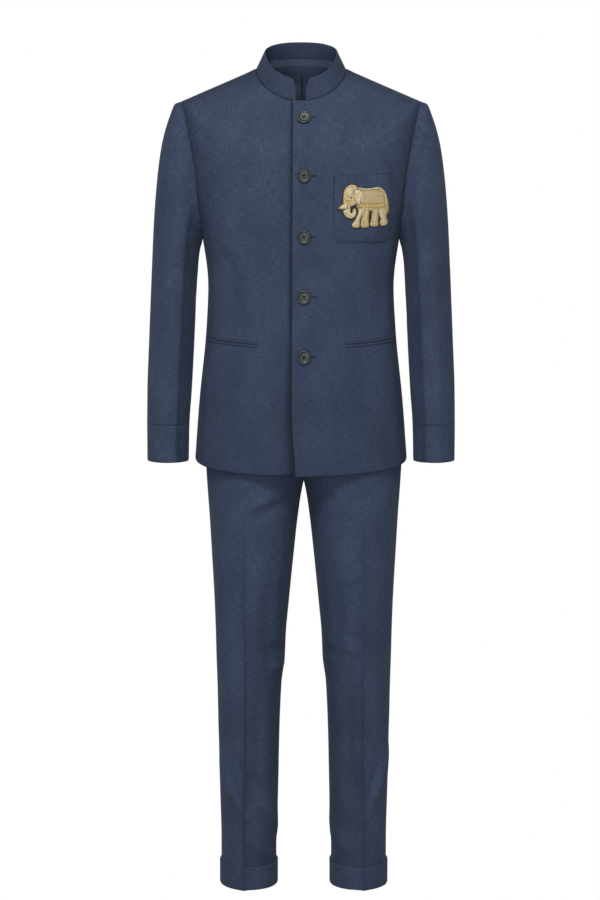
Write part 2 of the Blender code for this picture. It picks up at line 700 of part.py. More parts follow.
def make_elephant(pocket, gold):
    """The padded motif: flat behind, and domed in front from a thin rim."""
    line = elephant_outline()
    edges = [(k, (k + 1) % len(line)) for k in range(len(line))]
    filling = [Vector(point) for point in line]
    xs, zs = zip(*line)
    for x in np.arange(min(xs), max(xs), ELEPHANT_GRID):
        for z in np.arange(min(zs), max(zs), ELEPHANT_GRID):
            if distance_to_line(np.array((x, z)), line) > ELEPHANT_INSET:
                filling.append(Vector((x, z)))
    points, _, faces, _, _, _ = delaunay_2d_cdt(filling, edges, [list(range(len(line)))], 1, 1e-4)
    used = sorted({k for face in faces for k in face})
    place = {k: n for n, k in enumerate(used)}
    faces = [tuple(place[k] for k in face) for face in faces]
    back, front = [], []
    for k in used:
        x, z = points[k]
        spot = (ELEPHANT_CENTRE[0] + x, BEFORE_SUIT, ELEPHANT_CENTRE[1] + z)
        seat = seated(pocket, spot, (0, -1, 0), 0.0) + CHEST_FACING * ELEPHANT_GAP
        inside = min(distance_to_line(np.array((x, z)), line) / ELEPHANT_ROUNDING, 1.0)
        rise = ELEPHANT_RIM + ELEPHANT_RISE * math.sqrt(inside)
        back.append(seat)
        front.append(seat + CHEST_FACING * rise)
    count = len(used)
    borders = {}
    for face in faces:
        for a, b in zip(face, face[1:] + face[:1]):
            borders[frozenset((a, b))] = None if frozenset((a, b)) in borders else (a, b)
    solid = list(faces) + [tuple(k + count for k in reversed(face)) for face in faces]
    for edge in borders.values():
        if edge:
            a, b = edge
            solid += [(b, a, a + count), (b, a + count, b + count)]
    add_object("elephant_applique", front + back, solid, gold)


def station_at(angle, z):
    """The body station whose ring passes through a height at an angle."""
    low, high = UNDERARM, HEM
    for _ in range(30):
        middle = (low + high) / 2
        low, high = (middle, high) if ring_point(body_ring(middle), angle)[2] > z else (low, middle)
    return (low + high) / 2


def make_welts(jacket, linen):
    """The two jettings of each lower pocket, one above the slit and one below it."""
    left_panel, right_panel = jacket.surface("front_left"), jacket.surface("front_right")
    upper = (WELT_SPLIT / 2 + WELT_HEIGHT, WELT_SPLIT / 2)
    lower = (-WELT_SPLIT / 2, -WELT_SPLIT / 2 - WELT_HEIGHT)
    for side, sign, surface in (("left", 1, left_panel), ("right", -1, right_panel)):
        for place, heights in (("upper", upper), ("lower", lower)):
            inner = np.zeros((2, WELT_CELLS + 1, 3))
            outward = np.zeros_like(inner)
            for j, angle in enumerate(np.linspace(WELT_FROM, WELT_TO, WELT_CELLS + 1)):
                slit = WELT_SLIT_Z + WELT_RISE * j / WELT_CELLS
                for i, height in enumerate(heights):
                    ring = body_ring(station_at(angle, slit + height))
                    x, y, z = ring_point(ring, angle)
                    point = Vector((sign * x, y, z))
                    steepness = sign * x / ring["half_width"] ** 2, y / ring["front_depth"] ** 2
                    way = Vector((*steepness, 0.0)).normalized()
                    outward[i, j] = way
                    inner[i, j] = seated(surface, point, way, WELT_GAP)
            name = "welt_" + place + "_" + side
            add_wall(name, inner + outward * WELT_CLOTH, inner, linen)


def turned(profile, sides):
    """A closed solid of (radius, height) points turned about the Z axis, from its base up to its top."""
    points, faces = [], []
    for radius, height in profile:
        for k in range(sides):
            turn = 2 * math.pi * k / sides
            points.append((radius * math.cos(turn), radius * math.sin(turn), height))
    for level in range(len(profile) - 1):
        for k in range(sides):
            a, b = level * sides + k, level * sides + (k + 1) % sides
            faces += [(a, b, b + sides), (a, b + sides, a + sides)]
    low, high = len(points), len(points) + 1
    points += [(0.0, 0.0, profile[0][1]), (0.0, 0.0, profile[-1][1])]
    top = (len(profile) - 1) * sides
    for k in range(sides):
        following = (k + 1) % sides
        faces += [(low, following, k), (high, top + k, top + following)]
    return np.array(points), faces


def make_button(name, surface, x, z, radius, height, horn):
    """A horn button with a raised rim, standing on the cloth and facing the way the cloth faces."""
    profile = (
        (0.80 * radius, 0.0),
        (radius, 0.38 * height),
        (0.97 * radius, 0.80 * height),
        (0.86 * radius, height),
        (0.68 * radius, 0.72 * height),
    )
    points, faces = turned(profile, BUTTON_SIDES)
    start = Vector((x, BEFORE_SUIT, z))
    spread = radius / 2
    hits = []
    for across, up in ((0, 0), (spread, 0), (-spread, 0), (0, spread), (0, -spread)):
        hits.append(surface.ray_cast(start + Vector((across, 0, up)), Vector((0, 1, 0)))[0])
    facing = (hits[1] - hits[2]).cross(hits[3] - hits[4]).normalized()
    centre, _, _, _ = surface.ray_cast(start, Vector((0, 1, 0)))
    turn = facing.to_track_quat("Z", "Y").to_matrix()
    placed = points @ np.array(turn).T + np.array(centre + facing * BUTTON_STANDS)
    add_object(name, placed, faces, horn)


def make_trousers(linen, horn):
    trousers = Garment(TROUSER_CLOTH)
    shift = np.array([TROUSER_SHIFT, 0.0, 0.0])
    front, back = leg_grid("front"), leg_grid("back")
    for side, turned_to in (("left", 1.0), ("right", -1.0)):
        way = np.array([turned_to, 1.0, 1.0])
        middle = (turned_to * LEG_MIDDLE + TROUSER_SHIFT, 0.0)
        trousers.add("trouser_front_" + side, front * way + shift, middle)
        trousers.add("trouser_back_" + side, back * way + shift, middle)
    trousers.sew()
    for name in trousers.grids:
        trousers.wall(name, linen)
    make_turn_ups(trousers, linen)
    band = make_waistband(linen)
    make_fly(trousers, linen)
    middle = WAIST_Z + WAISTBAND_HEIGHT / 2
    size = WAIST_BUTTON_RADIUS, WAIST_BUTTON_HEIGHT
    make_button("waist_button", band, WAIST_BUTTON_X, middle, *size, horn)


def make_turn_ups(trousers, linen):
    """The folded-up hem, a band round the foot of each leg."""
    for side in ("left", "right"):
        rows = []
        for z in (TURN_UP_TOP, (TURN_UP_TOP + TURN_UP_BOTTOM) / 2, TURN_UP_BOTTOM):
            front, back = leg_row(z, "front"), leg_row(z, "back")
            rows.append(np.concatenate([front, back[-2:0:-1]]))
        line = np.array(rows)
        if side == "right":
            line = mirrored(line)
        line = line + np.array([TROUSER_SHIFT, 0.0, 0.0])
        ahead, behind = np.roll(line, -1, axis=1), np.roll(line, 1, axis=1)
        one, other = ahead - line, line - behind
        out = np.zeros_like(line)
        for step in (one, other):
            flat = np.stack([step[..., 1], -step[..., 0], np.zeros_like(step[..., 0])], axis=-1)
            out += flat / np.linalg.norm(flat, axis=2, keepdims=True)
        length = np.linalg.norm(out, axis=2, keepdims=True)
        out = out / length * (2.0 / length)
        middle = line.mean(axis=(0, 1))
        if (out * (line - middle)).sum() < 0:
            out = -out
        inner = line + out * LIE_GAP
        add_wall("turn_up_" + side, inner + out * TURN_UP_CLOTH, inner, linen, closed=True)


def make_waistband(linen):
    """The band on the trousers' top edge, its left end lapped over its right at centre front."""
    section = leg_section(WAIST_Z)
    power = 2 / LEG_POWER
    rows = []
    for z in (WAIST_Z + WAISTBAND_HEIGHT, WAIST_Z + SEAM_GAP):
        row = []
        for angle in np.linspace(WAISTBAND_FROM, WAISTBAND_TO, WAISTBAND_CELLS + 1):
            turn = math.radians(angle)
            inset = float(np.interp(angle, (TUCK_FROM, TUCK_FULL), (0.0, TUCK_DEPTH)))
            depth = section["front_depth"] if math.cos(turn) > 0 else section["back_depth"]
            x = (section["outer"] - inset) * signed_power(math.sin(turn), power)
            y = -(depth - inset) * signed_power(math.cos(turn), power)
            row.append((x + TROUSER_SHIFT, y, z))
        rows.append(row)
    band = Garment(TROUSER_CLOTH)
    band.add("waistband", np.array(rows), (TROUSER_SHIFT, 0.0))
    band.sew()
    band.wall("waistband", linen)
    return band.surface("waistband")


def make_fly(trousers, linen):
    """The flap behind the front opening, on the wearer's left."""
    panel = trousers.surface("trouser_front_left")
    rows = []
    for z in np.linspace(WAIST_Z - FLY_TOP, WAIST_Z - FLY_LENGTH, FLY_CELLS + 1):
        row = []
        for x in np.linspace(FLY_START, FLY_WIDTH, FLY_CELLS + 1):
            spot = (x + TROUSER_SHIFT, BEFORE_SUIT, z)
            row.append(seated(panel, spot, (0, -1, 0), -TROUSER_CLOTH - FLY_GAP))
        rows.append(row)
    outer = np.array(rows)
    add_wall("fly", outer, outer + np.array([0.0, TROUSER_CLOTH, 0.0]), linen)


def main():
    for existing in list(bpy.data.objects):
        bpy.data.objects.remove(existing, do_unlink=True)
    linen = add_material("navy_linen", LINEN, 0.85)
    lining = add_material("navy_lining", LINING, 0.5)
    horn = add_material("dark_horn", HORN, 0.25)
    gold = add_material("gold_thread", GOLD_THREAD, 0.45, 0.35)
    jacket = make_body(linen)
    make_collar(jacket, linen)
    make_neck_lining(jacket, lining)
    pocket = make_chest_pocket(jacket, linen)
    make_elephant(pocket, gold)
    make_welts(jacket, linen)
    over_front = jacket.surface("front_left")
    for number, z in enumerate(BUTTON_HEIGHTS, 1):
        make_button(f"button_{number}", over_front, BUTTON_X, z, BUTTON_RADIUS, BUTTON_HEIGHT, horn)
    make_trousers(linen, horn)


main()
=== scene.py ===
import math

import bmesh
import bpy
import numpy as np
from mathutils import Matrix, Vector
from mathutils.bvhtree import BVHTree
from mathutils.geometry import delaunay_2d_cdt


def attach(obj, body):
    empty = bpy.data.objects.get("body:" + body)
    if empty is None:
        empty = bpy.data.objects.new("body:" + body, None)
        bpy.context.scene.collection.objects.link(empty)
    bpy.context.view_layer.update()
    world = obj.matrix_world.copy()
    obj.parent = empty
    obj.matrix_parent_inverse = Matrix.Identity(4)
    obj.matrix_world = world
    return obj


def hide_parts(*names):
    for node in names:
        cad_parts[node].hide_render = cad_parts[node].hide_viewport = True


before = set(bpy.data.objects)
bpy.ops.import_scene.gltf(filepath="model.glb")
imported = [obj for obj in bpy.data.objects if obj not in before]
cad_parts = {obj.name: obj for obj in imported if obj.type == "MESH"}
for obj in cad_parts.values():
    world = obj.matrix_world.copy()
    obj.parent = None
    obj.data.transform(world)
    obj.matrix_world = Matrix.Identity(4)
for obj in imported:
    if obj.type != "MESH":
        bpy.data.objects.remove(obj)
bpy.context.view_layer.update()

# Studio
# A white studio without a floor, as for a cut-out catalogue photograph. Broad soft lamps stand before
# the suit, the largest high up. The camera is at chest height, 5.4 m away, looking a little down, so
# the hems curve downwards as in the photograph.
CAMERA_PLACE = (-0.0018, -5.4, -0.10)
CAMERA_DOWN = 6.177
CAMERA_LENS = 120.0
ROOM_LIGHT = 0.20


def linear_colour(code):
    """An sRGB hex code as linear red, green, blue and alpha."""
    parts = [int(code[k : k + 2], 16) / 255 for k in (1, 3, 5)]
    return tuple(p / 12.92 if p <= 0.04045 else ((p + 0.055) / 1.055) ** 2.4 for p in parts) + (1.0,)


def add_node(tree, kind, settings=None, links=None):
    """A node with its settings, by property or socket, and its links, from other nodes' sockets."""
    made = tree.nodes.new(kind)
    for name, value in (settings or {}).items():
        if isinstance(name, str) and hasattr(made, name):
            setattr(made, name, value)
        else:
            made.inputs[name].default_value = value
    for name, source in (links or {}).items():
        tree.links.new(source, made.inputs[name])
    return made


def placed(name, data):
    """A new object in the scene."""
    made = bpy.data.objects.new(name, data)
    bpy.context.scene.collection.objects.link(made)
    return made


def add_lamp(name, place, aim, size, watts):
    """A rectangular lamp, turned towards a point."""
    lamp = bpy.data.lights.new(name, "AREA")
    lamp.shape, lamp.size, lamp.size_y, lamp.energy = "RECTANGLE", size[0], size[1], watts
    stand = placed(name, lamp)
    stand.location = place
    stand.rotation_euler = (Vector(aim) - Vector(place)).to_track_quat("-Z", "Y").to_euler()


def white_room():
    """The room looks white, and lights the suit less than its lamps do."""
    world = bpy.data.worlds.new("studio")
    world.use_nodes = True
    tree = world.node_tree
    seen = add_node(tree, "ShaderNodeLightPath")
    strength = add_node(
        tree, "ShaderNodeMapRange", {"To Min": ROOM_LIGHT, "To Max": 1.0},
        {"Value": seen.outputs["Is Camera Ray"]},
    )
    wall = tree.nodes["Background"]
    wall.inputs["Color"].default_value = (1.0, 1.0, 1.0, 1.0)
    tree.links.new(strength.outputs[0], wall.inputs["Strength"])
    bpy.context.scene.world = world


camera = placed("camera", bpy.data.cameras.new("camera"))
camera.data.lens = CAMERA_LENS
camera.data.sensor_width = 36.0
camera.data.clip_end = 200.0
camera.location = CAMERA_PLACE
camera.rotation_euler = (math.radians(90.0 - CAMERA_DOWN), 0.0, 0.0)
bpy.context.scene.camera = camera
bpy.context.scene.view_settings.view_transform = "Standard"
white_room()
add_lamp("key_lamp", (-0.4, -2.7, 2.6), (0.0, 0.0, -0.3), (2.2, 1.2), 91.0)
add_lamp("front_lamp", (0.3, -4.6, 0.5), (0.0, 0.0, -0.8), (1.2, 1.6), 29.0)
add_lamp("leg_lamp", (-0.3, -3.0, -1.2), (0.0, 0.0, -1.15), (1.0, 0.8), 26.0)
add_lamp("left_lamp", (-2.6, -0.5, 0.2), (0.0, 0.0, -0.9), (0.6, 2.4), 7.5)
add_lamp("right_lamp", (2.6, -0.5, 0.2), (0.0, 0.0, -0.9), (0.6, 2.4), 9.0)
add_lamp("back_lamp", (0.6, 3.4, 1.2), (0.0, 0.0, -0.7), (1.6, 1.6), 24.0)

# Jacket fronts and backs
# Four panels of navy slub linen over a light canvas. The left front laps over the right and carries
# the buttonholes. They are seamed at the shoulders, the sides and the centre back, pressed, and
# turned in at the front edges and the hem. A ring runs from centre front over the side to centre back.
BODY_COLUMNS = (
    "station", "half_width", "front_depth", "back_depth", "front_z", "side_z", "back_z",
    "squareness", "roundness",
)
BODY_RINGS = (
    (0, 80.0, 74.0, 62.0, -56.0, 0.0, 12.0, 2.0, 0.15),
    (1, 146.0, 99.0, 87.0, -106.0, -28.0, -38.0, 2.15, 0.85),
    (1.9, 206.5, 111.0, 102.6, -154.8, -54.0, -98.6, 2.285, 0.985),
    (2, 213.0, 112.0, 104.0, -160.0, -57.0, -105.0, 2.3, 1.0),
    (3, 206.0, 118.0, 113.0, -216.0, -140.0, -172.0, 2.4, 1.0),
    (4, 196.0, 118.5, 115.0, -264.0, -225.0, -240.0, 2.4, 1.0),
    (5, 176.0, 117.0, 111.0, -308.0, -305.0, -305.0, 2.4, 0.0),
    (6, 166.8, 110.5, 98.0, -390.0, -385.0, -385.0, 2.35, 0.0),
    (7, 170.8, 108.5, 95.0, -476.0, -470.0, -470.0, 2.35, 0.0),
    (8, 183.2, 113.0, 108.0, -600.0, -590.0, -590.0, 2.4, 0.0),
    (9, 191.4, 119.0, 117.0, -719.0, -697.0, -700.0, 2.4, 0.0),
)
NECK, SHOULDER_TIP, UNDERARM, HEM = 0, 2, 5, 9
ARMHOLE_FRONT, ARMHOLE_BACK = 58.0, 66.0
EDGE_COLUMNS = ("station", "past_centre")
FRONT_EDGE = ((0, 14.8), (5, 16.0), (8, 16.8), (9, 10.0))
UNDERLAP = 20.0
LAP_START, LAP_FULL, LAP_DEPTH = 44.0, 26.0, 2.4
# Painted shade near the side seams and on the skirt, and beside the lapped edge, as wide in mm as SHADE_WIDE
# at each depth in SHADE_DOWN
SIDE_SHADE, SKIRT_SHADE = 0.42, 0.24
SHADE_DOWN, SHADE_WIDE = (60.0, 480.0, 600.0, 720.0), (3.4, 6.0, 14.0, 18.0)
JACKET_CLOTH = 1.8
HALF_SEAM, ALLOWANCE = 0.15, 4.5
# The first is how wide the darkening beside a seam is, in mm; it is partly painted shade
SEAM_DARK_WIDTH, EDGE_TURN, EDGE_DROP = 1.6, 1.3, 0.7
SEAM_PLAIN, NECK_PLAIN = 14.0, 25.0
BODY_EASING, RING_STEPS = 30, 400

# Rows stand close at a seam, to shape its pressed groove, and evenly between
SHOULDER_SHARES, ARMHOLE_SHARES, TORSO_SHARES = 24, 46, 92
NEAR_SEAM = (0.0, 0.8, 1.8, 3.2, 5.2, 8.0)
BODY_COLUMN_COUNT = 58

# Creases of the fronts, seen from the front in mm: x and z of both ends, half the width, and the rise,
# which is a trough's where it is negative
FRONT_CREASES = (
    (-84.0, -300.0, -96.0, -560.0, 24.0, 3.3),
    (-132.0, -318.0, -128.0, -500.0, 17.0, -4.5),
    (-158.0, -300.0, -120.0, -372.0, 10.0, -2.4),
    (-40.0, -380.0, -44.0, -660.0, 22.0, -2.0),
    (-60.0, -110.0, -150.0, -190.0, 22.0, 1.8),
    (-150.0, -120.0, -168.0, -250.0, 9.0, -2.7),
    (112.0, -300.0, 118.0, -468.0, 7.0, 1.4),
    (97.0, -318.0, 103.0, -470.0, 6.0, 0.9),
    (138.0, -330.0, 140.0, -480.0, 15.0, -3.6),
    (86.0, -320.0, 92.0, -600.0, 26.0, 2.5),
    (44.0, -420.0, 40.0, -680.0, 20.0, -1.8),
    (150.0, -120.0, 168.0, -255.0, 9.0, -2.8),
    (70.0, -105.0, 150.0, -150.0, 20.0, 1.5),
    (-120.0, -560.0, -150.0, -700.0, 20.0, 2.7),
    (128.0, -540.0, 150.0, -700.0, 18.0, 2.4),
    (-78.0, -600.0, -70.0, -715.0, 18.0, -2.1),
    (84.0, -590.0, 78.0, -715.0, 16.0, -1.8),
)
BACK_CREASES = (
    (-30.0, -90.0, -120.0, -120.0, 20.0, -1.7),
    (34.0, -92.0, 128.0, -126.0, 18.0, -2.0),
    (-118.0, -190.0, -150.0, -330.0, 15.0, 4.2),
    (120.0, -186.0, 152.0, -322.0, 16.0, 3.6),
    (-70.0, -300.0, -84.0, -470.0, 20.0, -3.1),
    (66.0, -310.0, 86.0, -480.0, 22.0, -2.8),
    (-20.0, -425.0, -110.0, -452.0, 9.0, -2.5),
    (24.0, -436.0, 104.0, -466.0, 8.0, -2.1),
    (-110.0, -520.0, -124.0, -690.0, 22.0, 3.6),
    (104.0, -530.0, 128.0, -690.0, 20.0, 3.1),
    (-52.0, -560.0, -50.0, -695.0, 20.0, -2.2),
    (46.0, -550.0, 52.0, -695.0, 18.0, -2.7),
)


def hump(away, width):
    """A smooth hump: 1 where it is 0 away, and nearly 0 at twice the width."""
    return np.exp(-((away / width) ** 2))


def grown(length, full):
    """A share that grows evenly from 0 at no length to 1 at the full length, and stays there."""
    return np.clip(length / full, 0.0, 1.0)


def smooth(share):
    """A share from 0 to 1 made to start and end gently."""
    return share * share * (3 - 2 * share)


def between(rows, columns, station):
    """A table's values at a station between its rows, on smooth curves that never overshoot."""
    table = np.array(rows, float)
    at = np.clip(station, *sorted((table[0, 0], table[-1, 0])))
    if table[0, 0] > table[-1, 0]:
        table = table[::-1]
    k = int(np.clip(np.searchsorted(table[:, 0], at) - 1, 0, len(table) - 2))
    width = np.diff(table[:, 0])
    slope = np.diff(table, axis=0) / width[:, None]
    ends = np.empty_like(table)
    ends[0], ends[-1] = slope[0], slope[-1]
    before, after = slope[:-1], slope[1:]
    same_way = before * after > 0
    total = np.where(same_way, before + after, 1.0)
    ends[1:-1] = np.where(same_way, 2 * before * after / total, 0.0)
    t = (at - table[k, 0]) / width[k]
    rise = smooth(t)
    values = (
        table[k] * (1 - rise)
        + table[k + 1] * rise
        + width[k] * (ends[k] * t * (1 - t) ** 2 - ends[k + 1] * t * t * (1 - t))
    )
    return dict(zip(columns, values))


def signed_power(value, power):
    return np.copysign(np.abs(value) ** power, value)


def ring_points(ring, angles):
    """Points of a body ring: 0 is centre front, 90 the side and 180 centre back."""
    turn = np.radians(angles)
    power = 2 / ring["squareness"]
    front = np.abs(angles) <= 90
    depth = np.where(front, ring["front_depth"], ring["back_depth"])
    end_z = np.where(front, ring["front_z"], ring["back_z"])
    near_side = 1 - np.abs(np.cos(turn))
    level = near_side + ring["roundness"] * near_side * (1 - near_side)
    x = ring["half_width"] * signed_power(np.sin(turn), power)
    y = -depth * signed_power(np.cos(turn), power)
    return np.stack([x, y, end_z + (ring["side_z"] - end_z) * level], axis=-1)


def angle_across(ring, x):
    """The angle at which a ring's front half reaches x."""
    return math.degrees(math.asin(signed_power(x / ring["half_width"], ring["squareness"] / 2)))


def angle_at_depth(ring, y, side):
    """The angle at which a ring's front or back half comes within y of the side line."""
    angle = math.degrees(math.acos((y / ring[side + "_depth"]) ** (ring["squareness"] / 2)))
    return angle if side == "front" else 180 - angle


def lengths_along(points):
    """How far each point of a line lies from its first."""
    steps = np.linalg.norm(np.diff(points, axis=0), axis=1)
    return np.concatenate([[0.0], np.cumsum(steps)])


def spaced(points, wanted):
    """The places of a line that lie these lengths from its start."""
    length = lengths_along(points)
    return np.stack([np.interp(wanted, length, column) for column in points.T], axis=1)


def placed_along(points, count):
    """A line's points spaced anew: close at both ends, where its seams are, and evenly between."""
    total = lengths_along(points)[-1]
    ends = HALF_SEAM + np.array(NEAR_SEAM)
    middle = np.linspace(ends[-1], total - ends[-1], count - 2 * len(ends) + 2)
    return spaced(points, np.concatenate([ends[:-1], middle, total - ends[-2::-1]]))


def body_stations():
    """Each row's station, and how far round the armhole it is, from 0 at the tip to 1 underarm."""
    rows = [(0.006, 0.0), (0.016, 0.0), (0.03, 0.0), (0.05, 0.0)]
    rows += [(k * SHOULDER_TIP / SHOULDER_SHARES, 0.0) for k in range(1, SHOULDER_SHARES)]
    for k in range(ARMHOLE_SHARES + 1):
        share = k / ARMHOLE_SHARES
        down = (1 - math.cos(math.pi * share)) / 2
        rows.append((SHOULDER_TIP + (UNDERARM - SHOULDER_TIP) * down, share))
    rows += [(UNDERARM + (HEM - UNDERARM) * k / TORSO_SHARES, 1.0) for k in range(1, TORSO_SHARES)]
    return rows + [(HEM - 0.024, 1.0), (HEM - 0.01, 1.0), (HEM, 1.0)]


def body_row(station, start, side_depth, side):
    """A row of the front or the back: from the edge or the centre back to the side."""
    ring = between(BODY_RINGS, BODY_COLUMNS, station)
    first = angle_across(ring, -start) if side == "front" else 180.0
    last = angle_at_depth(ring, side_depth, side)
    return placed_along(ring_points(ring, np.linspace(first, last, RING_STEPS)), BODY_COLUMN_COUNT)


def front_grid(over):
    """The front, from its free edge to the shoulder, armhole and side. Points are in mm."""
    grid = []
    for station, share in body_stations():
        past = between(FRONT_EDGE, EDGE_COLUMNS, station)["past_centre"] if over else UNDERLAP
        grid.append(body_row(station, past, ARMHOLE_FRONT * math.sin(math.pi * share), "front"))
    return np.array(grid)


def back_grid():
    """Half the back, from the centre back seam to the shoulder, armhole and side."""
    grid = []
    for station, share in body_stations():
        grid.append(body_row(station, 0.0, ARMHOLE_BACK * math.sin(math.pi * share), "back"))
    return np.array(grid)


def mirrored(grid):
    return grid * np.array([-1.0, 1.0, 1.0])


def eased(grid, passes):
    """The same grid with its inner points drawn towards their neighbours, to take out ripples."""
    grid = grid.copy()
    for _ in range(passes):
        beside = (grid[:-2, 1:-1] + grid[2:, 1:-1] + grid[1:-1, :-2] + grid[1:-1, 2:]) / 4
        grid[1:-1, 1:-1] += 0.5 * (beside - grid[1:-1, 1:-1])
    return grid


def normals_of(grid, inside):
    """A grid's unit normals, turned away from a point inside the garment."""
    across = np.gradient(grid, axis=1)
    down = np.gradient(grid, axis=0)
    normals = np.cross(down, across)
    normals /= np.maximum(np.linalg.norm(normals, axis=2, keepdims=True), 1e-9)
    middle = np.array([inside[0], inside[1], grid[..., 2].mean()])
    return normals if (normals * (grid - middle)).sum() > 0 else -normals


def crease_rise(across, down, creases):
    """How far creases lift the cloth at places (across, down). Each tapers off towards its ends."""
    total = np.zeros(np.shape(across))
    for row in creases:
        x0, z0, x1, z1, half_width, rise = row
        run = np.array([x1 - x0, z1 - z0])
        length = np.hypot(*run)
        along = ((across - x0) * run[0] + (down - z0) * run[1]) / length**2
        off = ((across - x0) * run[1] - (down - z0) * run[0]) / length
        bend = 0.05 * length * np.sin(math.pi * np.clip(along, 0, 1)) * np.sign(rise * run[0] + 1e-6)
        fade = np.clip(1.0 - np.abs(along - 0.5) * 2, 0.0, 1.0)
        total += rise * np.sqrt(smooth(fade)) * hump(off - bend, half_width)
    return total


def run_lengths(grid, axis):
    """How far each point lies from its line's first point, and from its last, along the cloth."""
    steps = np.linalg.norm(np.diff(grid, axis=axis), axis=2)
    start = np.zeros_like(steps.take([0], axis=axis))
    length = np.concatenate([start, np.cumsum(steps, axis=axis)], axis=axis)
    return length, length.take([-1], axis=axis) - length


def seam_groove(away, depth=0.9, width=2.2):
    """The dip that a pressed seam makes in the cloth beside it, and the faint swell next to that."""
    return -depth * hump(away, width) + 0.22 * depth * hump(away - 3.2 * width, 1.6 * width)


def add_object(name, points, faces):
    """A smooth mesh object. Points are in mm."""
    mesh = bpy.data.meshes.new(name)
    mesh.from_pydata((np.asarray(points, float) / 1000.0).tolist(), [], [list(face) for face in faces])
    mesh.validate()
    mesh.shade_smooth()
    return placed(name, mesh)


def flatten(piece, grain):
    """Lays the piece's cloth out flat as its UV map, in metres, with a line of two points upright."""
    mesh = piece.data
    mesh.uv_layers.new(name="cloth")
    bpy.context.view_layer.objects.active = piece
    piece.select_set(True)
    bpy.ops.object.mode_set(mode="EDIT")
    bpy.ops.mesh.select_all(action="SELECT")
    bpy.ops.uv.unwrap(method="CONFORMAL", margin=0.0)
    bpy.ops.object.mode_set(mode="OBJECT")
    piece.select_set(False)
    count = len(mesh.loops)
    flat = np.empty(count * 2)
    mesh.uv_layers["cloth"].data.foreach_get("uv", flat)
    flat = flat.reshape(-1, 2)
    corner = np.empty(count, int)
    mesh.loops.foreach_get("vertex_index", corner)
    at = np.empty((len(mesh.vertices), 2))
    at[corner] = flat
    low, high = grain
    way = at[high] - at[low]
    scale = math.sqrt(sum(p.area for p in mesh.polygons) / flat_area(mesh, flat))
    turn = math.pi / 2 - math.atan2(way[1], way[0])
    turned = np.array([[math.cos(turn), -math.sin(turn)], [math.sin(turn), math.cos(turn)]])
    flat = (flat - at[low]) @ turned.T * scale
    mesh.uv_layers["cloth"].data.foreach_set("uv", flat.ravel())
    size = flat.max(axis=0) - flat.min(axis=0)
    print(f"flat {piece.name}: {size[0]:.3f} x {size[1]:.3f} m, area {flat_area(mesh, flat):.4f}")


def flat_area(mesh, flat):
    """The area of the mesh's layout."""
    total = 0.0
    for face in mesh.polygons:
        corners = flat[face.loop_start : face.loop_start + face.loop_total]
        following = np.roll(corners, -1, axis=0)
        total += abs((corners[:, 0] * following[:, 1] - following[:, 0] * corners[:, 1]).sum()) / 2
    return total


def underlapped(panel, first=0.0, last=0.0, cloth=JACKET_CLOTH):
    """The panel with an allowance at its first or last column, which lies under the piece sewn to it."""
    grid, normals, seams = panel
    for end, reach in ((0, first), (-1, last)):
        reach = np.broadcast_to(reach, len(grid))
        if not reach.any():
            continue
        facing = normals[:, end]
        way = grid[:, end] - grid[:, 1 if end == 0 else -2]
        way = way - (way * facing).sum(axis=1, keepdims=True) * facing
        way /= np.linalg.norm(way, axis=1, keepdims=True)
        added = []
        for share, deep in ((0.04, 0.5 * cloth), (0.3, cloth + 0.35), (1.0, cloth + 0.5)):
            added.append(grid[:, end] + way * (reach * share)[:, None] - facing * deep)
        added = np.stack(added[::-1] if end == 0 else added, axis=1)
        order = [added, grid] if end == 0 else [grid, added]
        beside = np.repeat(facing[:, None], 3, axis=1)
        # The allowance is painted fully dark, as shade where it shows inside the seam
        dark = np.ones((len(grid), 3))
        grid = np.concatenate(order, axis=1)
        normals = np.concatenate([beside, normals] if end == 0 else [normals, beside], axis=1)
        seams = np.concatenate([dark, seams] if end == 0 else [seams, dark], axis=1)
    return grid, normals, seams


def sewn_panel(name, grid, normals, seams, material, cloth=JACKET_CLOTH, grain=None):
    """A cloth piece: its outer face from the grid, its thickness inwards, and its layout on the cloth."""
    rows, columns = grid.shape[:2]
    corner = np.arange(rows * columns).reshape(rows, columns)
    corners = corner[:-1, :-1], corner[1:, :-1], corner[1:, 1:], corner[:-1, 1:]
    quads = np.stack(corners, axis=-1).reshape(-1, 4)
    points = grid.reshape(-1, 3)
    a, b, c = (points[quads[:, k]] for k in (0, 1, 2))
    outward = (np.cross(b - a, c - a) * normals.reshape(-1, 3)[quads[:, 0]]).sum()
    if outward < 0:
        quads = quads[:, ::-1]
    piece = add_object(name, points, quads)
    # The seam attribute darkens the cloth: seam lines, partly as painted shade, and painted shade in hollows,
    # at the sides and under other pieces
    near = piece.data.attributes.new("seam", "FLOAT", "POINT")
    near.data.foreach_set("value", seams.reshape(-1).astype(np.float32))
    middle = columns // 2
    if grain is None:
        grain = (corner[rows - 2, middle], corner[rows // 3, middle])
    flatten(piece, grain)
    thickness = piece.modifiers.new("cloth", "SOLIDIFY")
    thickness.thickness = cloth / 1000.0
    thickness.offset = -1.0
    thickness.use_even_offset = False
    piece.data.materials.append(material)
    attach(piece, "root")
    return piece


def stands_for(piece, node, slot="navy_linen", **sheet):
    """Hides the solid that a cloth piece takes the place of. The piece, its material slot and its cut are not
    used.
    """
    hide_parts(node)


def start_material(name, settings):
    """A material with its tree and its shader, which is set by socket."""
    material = bpy.data.materials.new(name)
    material.use_nodes = True
    shader = material.node_tree.nodes["Principled BSDF"]
    for socket, value in settings.items():
        shader.inputs[socket].default_value = value
    return material, material.node_tree, shader


def cloth_in_mm(tree):
    """The place on the cloth laid flat, in mm."""
    layout = add_node(tree, "ShaderNodeUVMap", {"uv_map": "cloth"})
    scaled = {"operation": "SCALE", "Scale": 1000.0}
    return add_node(tree, "ShaderNodeVectorMath", scaled, {0: layout.outputs[0]}).outputs[0]


